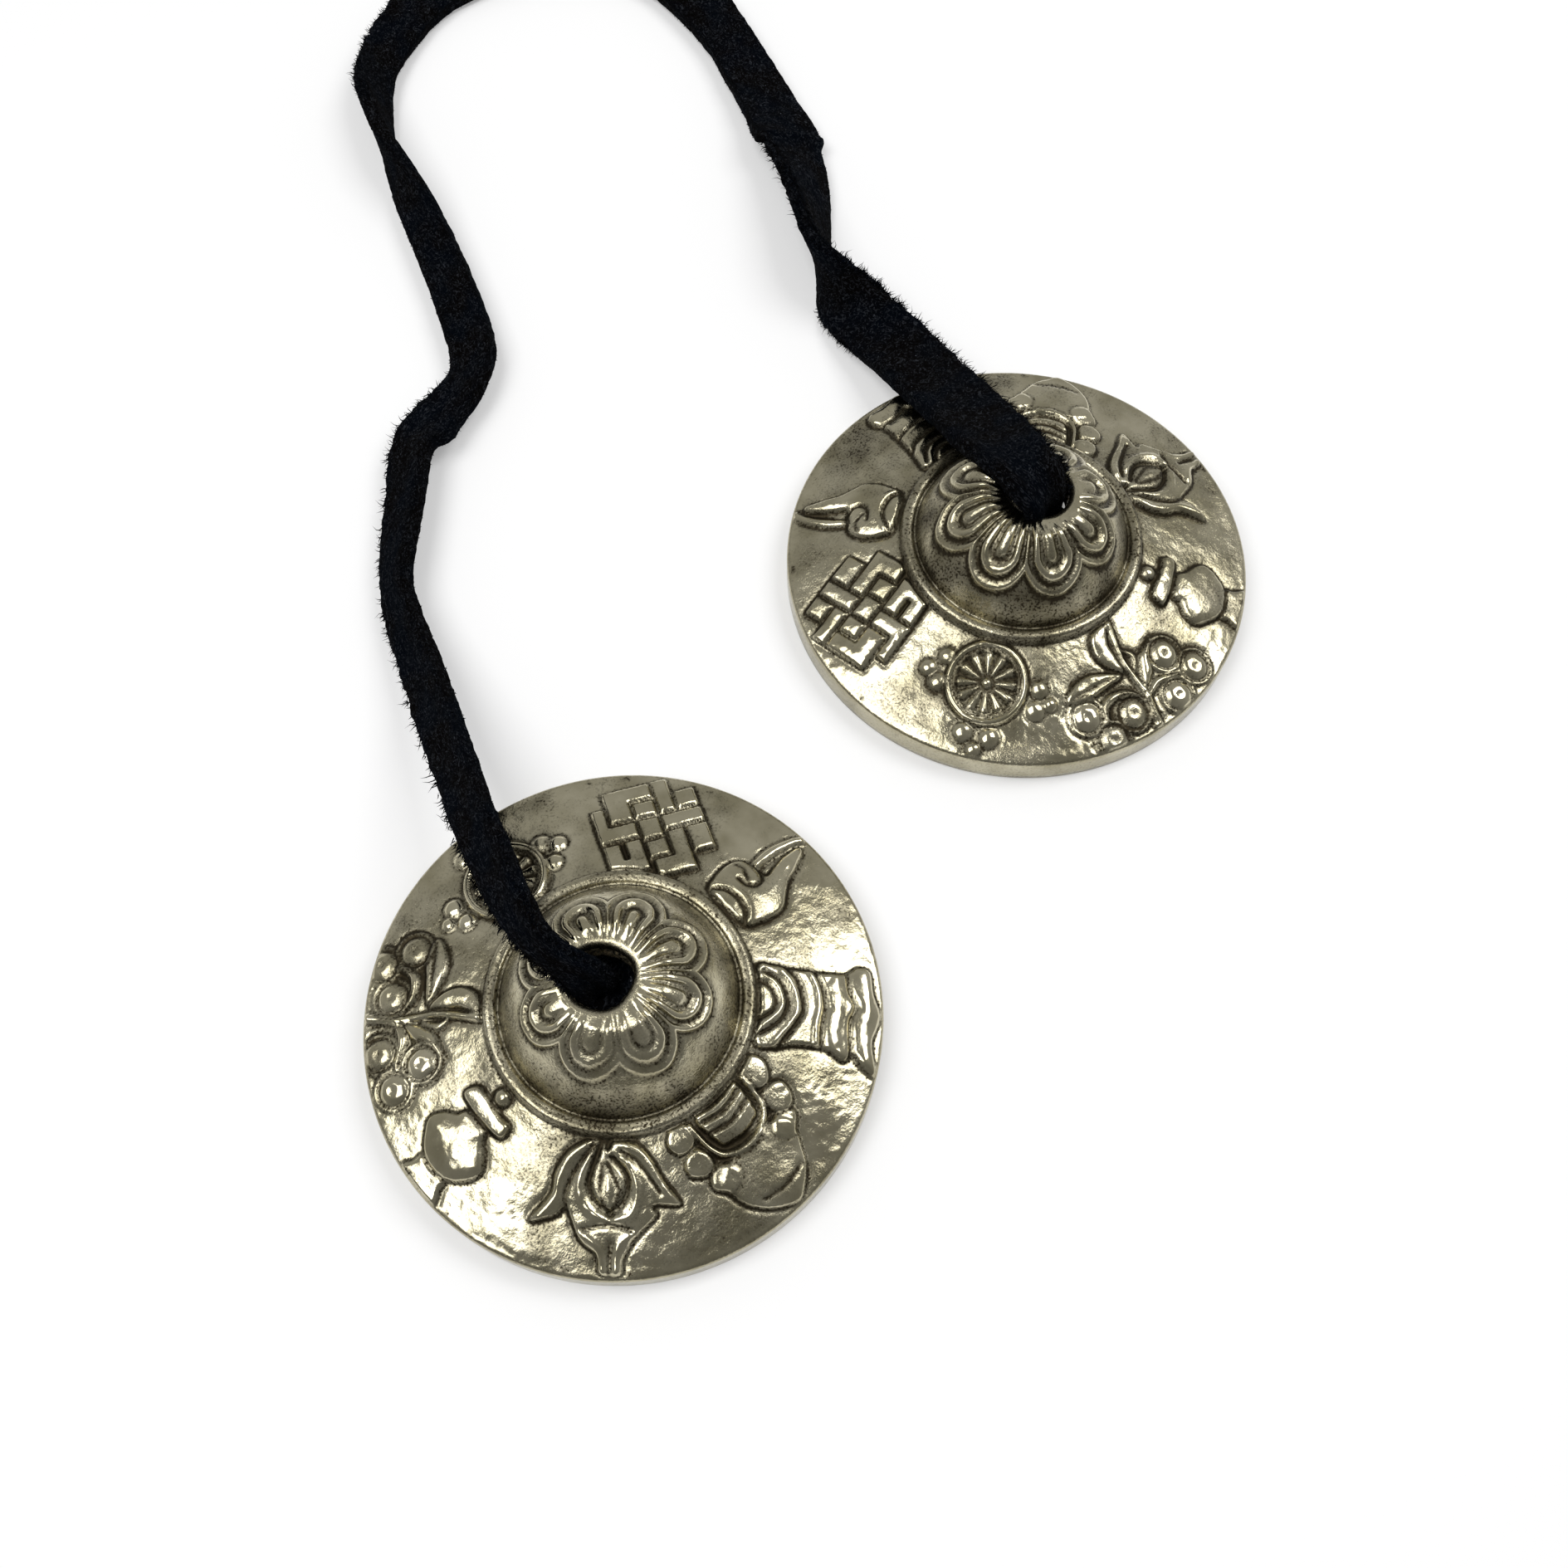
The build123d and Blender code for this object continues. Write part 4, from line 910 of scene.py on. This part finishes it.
loopFirst, loopLast = runMiddle(strap["loopFrom"]), runMiddle(strap["loopTo"])
leftStrap, leftLength, leftPath = makeStrapPiece(
    "leftStrapSuede", 0, loopFirst, ["left_strap_end", "left_strap_rise", "left_strap_leg"])
loopStrap, loopLength, loopPath = makeStrapPiece("loopStrapSuede", loopFirst, loopLast, ["strap_loop"])
rightStrap, rightLength, rightPath = makeStrapPiece(
    "rightStrapSuede", loopLast, len(line) - 1, ["right_strap_leg", "right_strap_rise", "right_strap_end"])


# Knots

knot = {"lobe": 1.5, "core": 5.6, "rise": 1.9, "thick": 1.75, "flat": 0.8, "steps": 150, "around": 14,
        "tail": (0.5, 9.0), "tailWidth": 7.4, "tailThick": 2.2, "slope": 38.0, "sag": 0.02,
        "tailRows": 24, "tailAround": 32, "coreRows": 13, "corePole": 0.02, "coreOver": 0.6, "lumpy": 0.06,
        "pinch": 0.55, "pinchLong": 6, "square": 0.5, "tailLumpy": 0.05}  # the tail where it leaves the knot


def gridOf(rows, columns):
    return np.stack(np.meshgrid(rows, columns, indexing="ij"), -1)


def makeKnot(name, node, hole, heading):
    # An overhand knot drawn tight is a trefoil: it goes round twice and weaves over and under three times.
    # A flat core closes the gaps, which the squeezed turns of a real knot don't have.
    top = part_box(node)[1][2] / mm
    middle = np.array([hole[0], hole[1], top - knot["thick"] - knot["rise"]])
    t = np.linspace(0, 2 * math.pi, knot["steps"], endpoint=False)
    loop = np.stack([np.sin(t) + 2 * np.sin(2 * t), np.cos(t) - 2 * np.cos(2 * t)], -1) * knot["lobe"]
    loop = np.concatenate([loop, -knot["rise"] * np.sin(3 * t)[:, None]], 1)
    ahead = unitRows(np.roll(loop, -1, 0) - np.roll(loop, 1, 0))
    out = loop * np.array([1, 1, 0])
    out = unitRows(out - ahead * np.sum(out * ahead, 1)[:, None])
    up = np.cross(ahead, out)
    a = np.linspace(0, 2 * math.pi, knot["around"], endpoint=False)
    thick = knot["thick"] * (1 + knot["lumpy"] * lumps(gridOf(t * 3, a * 2), 1.0, 9))
    rings = loop[:, None] + ((thick * np.cos(a) * knot["flat"])[..., None] * out[:, None]
                             + (thick * np.sin(a))[..., None] * up[:, None])
    (headC, headS), (slopeC, slopeS) = cosSin(heading), cosSin(knot["slope"])
    way = np.array([headC, headS, 0]) * slopeC - np.array([0, 0, slopeS])
    aside = np.array([-headS, headC, 0])
    over = np.cross(way, aside)
    rows, columns = knot["tailRows"], knot["tailAround"]
    reach = np.linspace(*knot["tail"], rows)
    corner = np.linspace(0, 2 * math.pi, columns, endpoint=False)
    share = knot["pinch"] + (1 - knot["pinch"]) * smoothStep(reach / knot["pinchLong"])
    edge = 1 + knot["tailLumpy"] * lumps(gridOf(reach, corner * 3), 1.0, 12)
    tu, tv = (np.sign(wave) * np.abs(wave) ** knot["square"] * size / 2 for wave, size in (
        (np.cos(corner), knot["tailWidth"]), (np.sin(corner), knot["tailThick"])))
    tail = reach[:, None, None] * way + (tu * edge * share[:, None])[..., None] * aside
    tail = tail + (tv * edge)[..., None] * over
    tail = tail + (knot["sag"] * reach ** 2)[:, None, None] * np.array([0, 0, 1])
    polar = np.linspace(knot["corePole"], math.pi - knot["corePole"], knot["coreRows"])[::-1, None]
    core = np.stack([np.sin(polar) * np.cos(corner), np.sin(polar) * np.sin(corner),
                     np.cos(polar) + 0 * corner], -1)
    core = core * np.array([knot["core"], knot["core"], knot["rise"] + knot["coreOver"]])
    start = knot["steps"] * knot["around"]
    last = start + (rows - 1) * columns
    faces = gridFaces(knot["steps"], knot["around"], True, True)
    faces += gridFaces(rows, columns, False, True, start)
    faces += [list(range(start, start + columns))[::-1], list(range(last, last + columns))]
    faces += gridFaces(knot["coreRows"], columns, False, True, last + columns)
    points = np.concatenate([rings.reshape(-1, 3), tail.reshape(-1, 3), core.reshape(-1, 3)]) + middle
    uv = points[:, :2] + points[:, 2:]
    piece = makePiece(name, points, faces, dyedSuede, "suede", uv)
    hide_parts(node)
    print(name, "made")
    return piece


leftKnot = makeKnot("leftKnotSuede", "left_knot", (-43.175, 0.9), 72.0)
rightKnot = makeKnot("rightKnotSuede", "right_knot", (43.075, -0.8), 63.0)
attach(leftKnot, "left_hanger")
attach(rightKnot, "right_hanger")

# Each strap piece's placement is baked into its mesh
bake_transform(leftStrap)
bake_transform(loopStrap)
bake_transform(rightStrap)


# Floor, light and camera

stage = {
    "floor": 1.6, "paper": "#fdfdfd", "glow": 0.3,
    "dark": (-0.61, -0.61, 0.51), "far": 0.475, "near": 0.228,  # the room's dark side, its strengths
    "lens": 36.41, "from": (-0.07195, -0.04929, 0.19713), "down": 66.234, "heading": -51.352,
}


def whitePaperMaterial():
    # Bleached matt paper: white and even, so it shows the soft shadows and nothing else
    material, tree = newMaterial("whitePaper")
    ray = addNode(tree, "LightPath").outputs
    seen = mathNode(tree, "MAXIMUM", ray["Is Camera Ray"], ray["Is Glossy Ray"])
    seen = mathNode(tree, "MAXIMUM", seen, ray["Is Transmission Ray"])
    share = mathNode(tree, "MULTIPLY", seen, stage["glow"])
    paper = addNode(tree, "BsdfDiffuse", {"Color": linear(stage["paper"])})
    glow = addNode(tree, "Emission", {"Strength": 1.0})
    mixed = addNode(tree, "MixShader", {0: share, 1: paper.outputs[0], 2: glow.outputs[0]})
    addNode(tree, "OutputMaterial", {"Surface": mixed.outputs[0]})
    return material


floorMesh = bpy.data.meshes.new("paperFloor")
reach = stage["floor"]
corners = [(-reach, -reach, 0), (reach, -reach, 0), (reach, reach, 0), (-reach, reach, 0)]
floorMesh.from_pydata(corners, [], [(0, 1, 2, 3)])
floorMesh.materials.append(whitePaperMaterial())
floorPiece = addObject("paperFloor", floorMesh)

# The room is darker on the side that the picture is taken from
world = bpy.data.worlds.new("studio")
bpy.context.scene.world = world
world.use_nodes = True
sky = addNode(world.node_tree, "TexCoord").outputs["Generated"]
toDark = addNode(world.node_tree, "VectorMath", {0: sky, 1: stage["dark"]}, operation="DOT_PRODUCT")
strength = rangeNode(world.node_tree, toDark.outputs["Value"], -0.2, 0.9, stage["far"], stage["near"])
background = world.node_tree.nodes["Background"]
world.node_tree.links.new(strength, background.inputs["Strength"])
background.inputs["Color"].default_value = (1, 1, 1, 1)


def softLamp(name, place, target, size, power):
    light = bpy.data.lights.new(name, "AREA")
    light.shape = "RECTANGLE"
    light.size, light.size_y = size
    light.energy = power
    lamp = addObject(name, light)
    lamp.location = place
    way = np.array(target) - np.array(place)
    tilt = math.atan2(math.hypot(way[0], way[1]), -way[2])
    lamp.rotation_euler = (tilt, 0, math.atan2(way[1], way[0]) - math.pi / 2)


softLamp("leftSoftbox", (-0.33, 0.23, 0.87), (0, 0.02, 0), (0.6, 0.6), 4.7)
softLamp("rightSoftbox", (0.48, -0.24, 0.79), (0, 0.02, 0), (0.4, 0.5), 3.3)

camera = bpy.data.cameras.new("photoCamera")
camera.sensor_width = 36.0
camera.lens = stage["lens"]  # gives the photograph's angle of view
camera.clip_start = 0.01
viewer = addObject("photoCamera", camera)
viewer.location = stage["from"]
viewer.rotation_euler = (math.radians(90 - stage["down"]), 0, math.radians(stage["heading"]))
bpy.context.scene.camera = viewer
bpy.context.scene.view_settings.view_transform = "Standard"
print("floor, light and camera set")
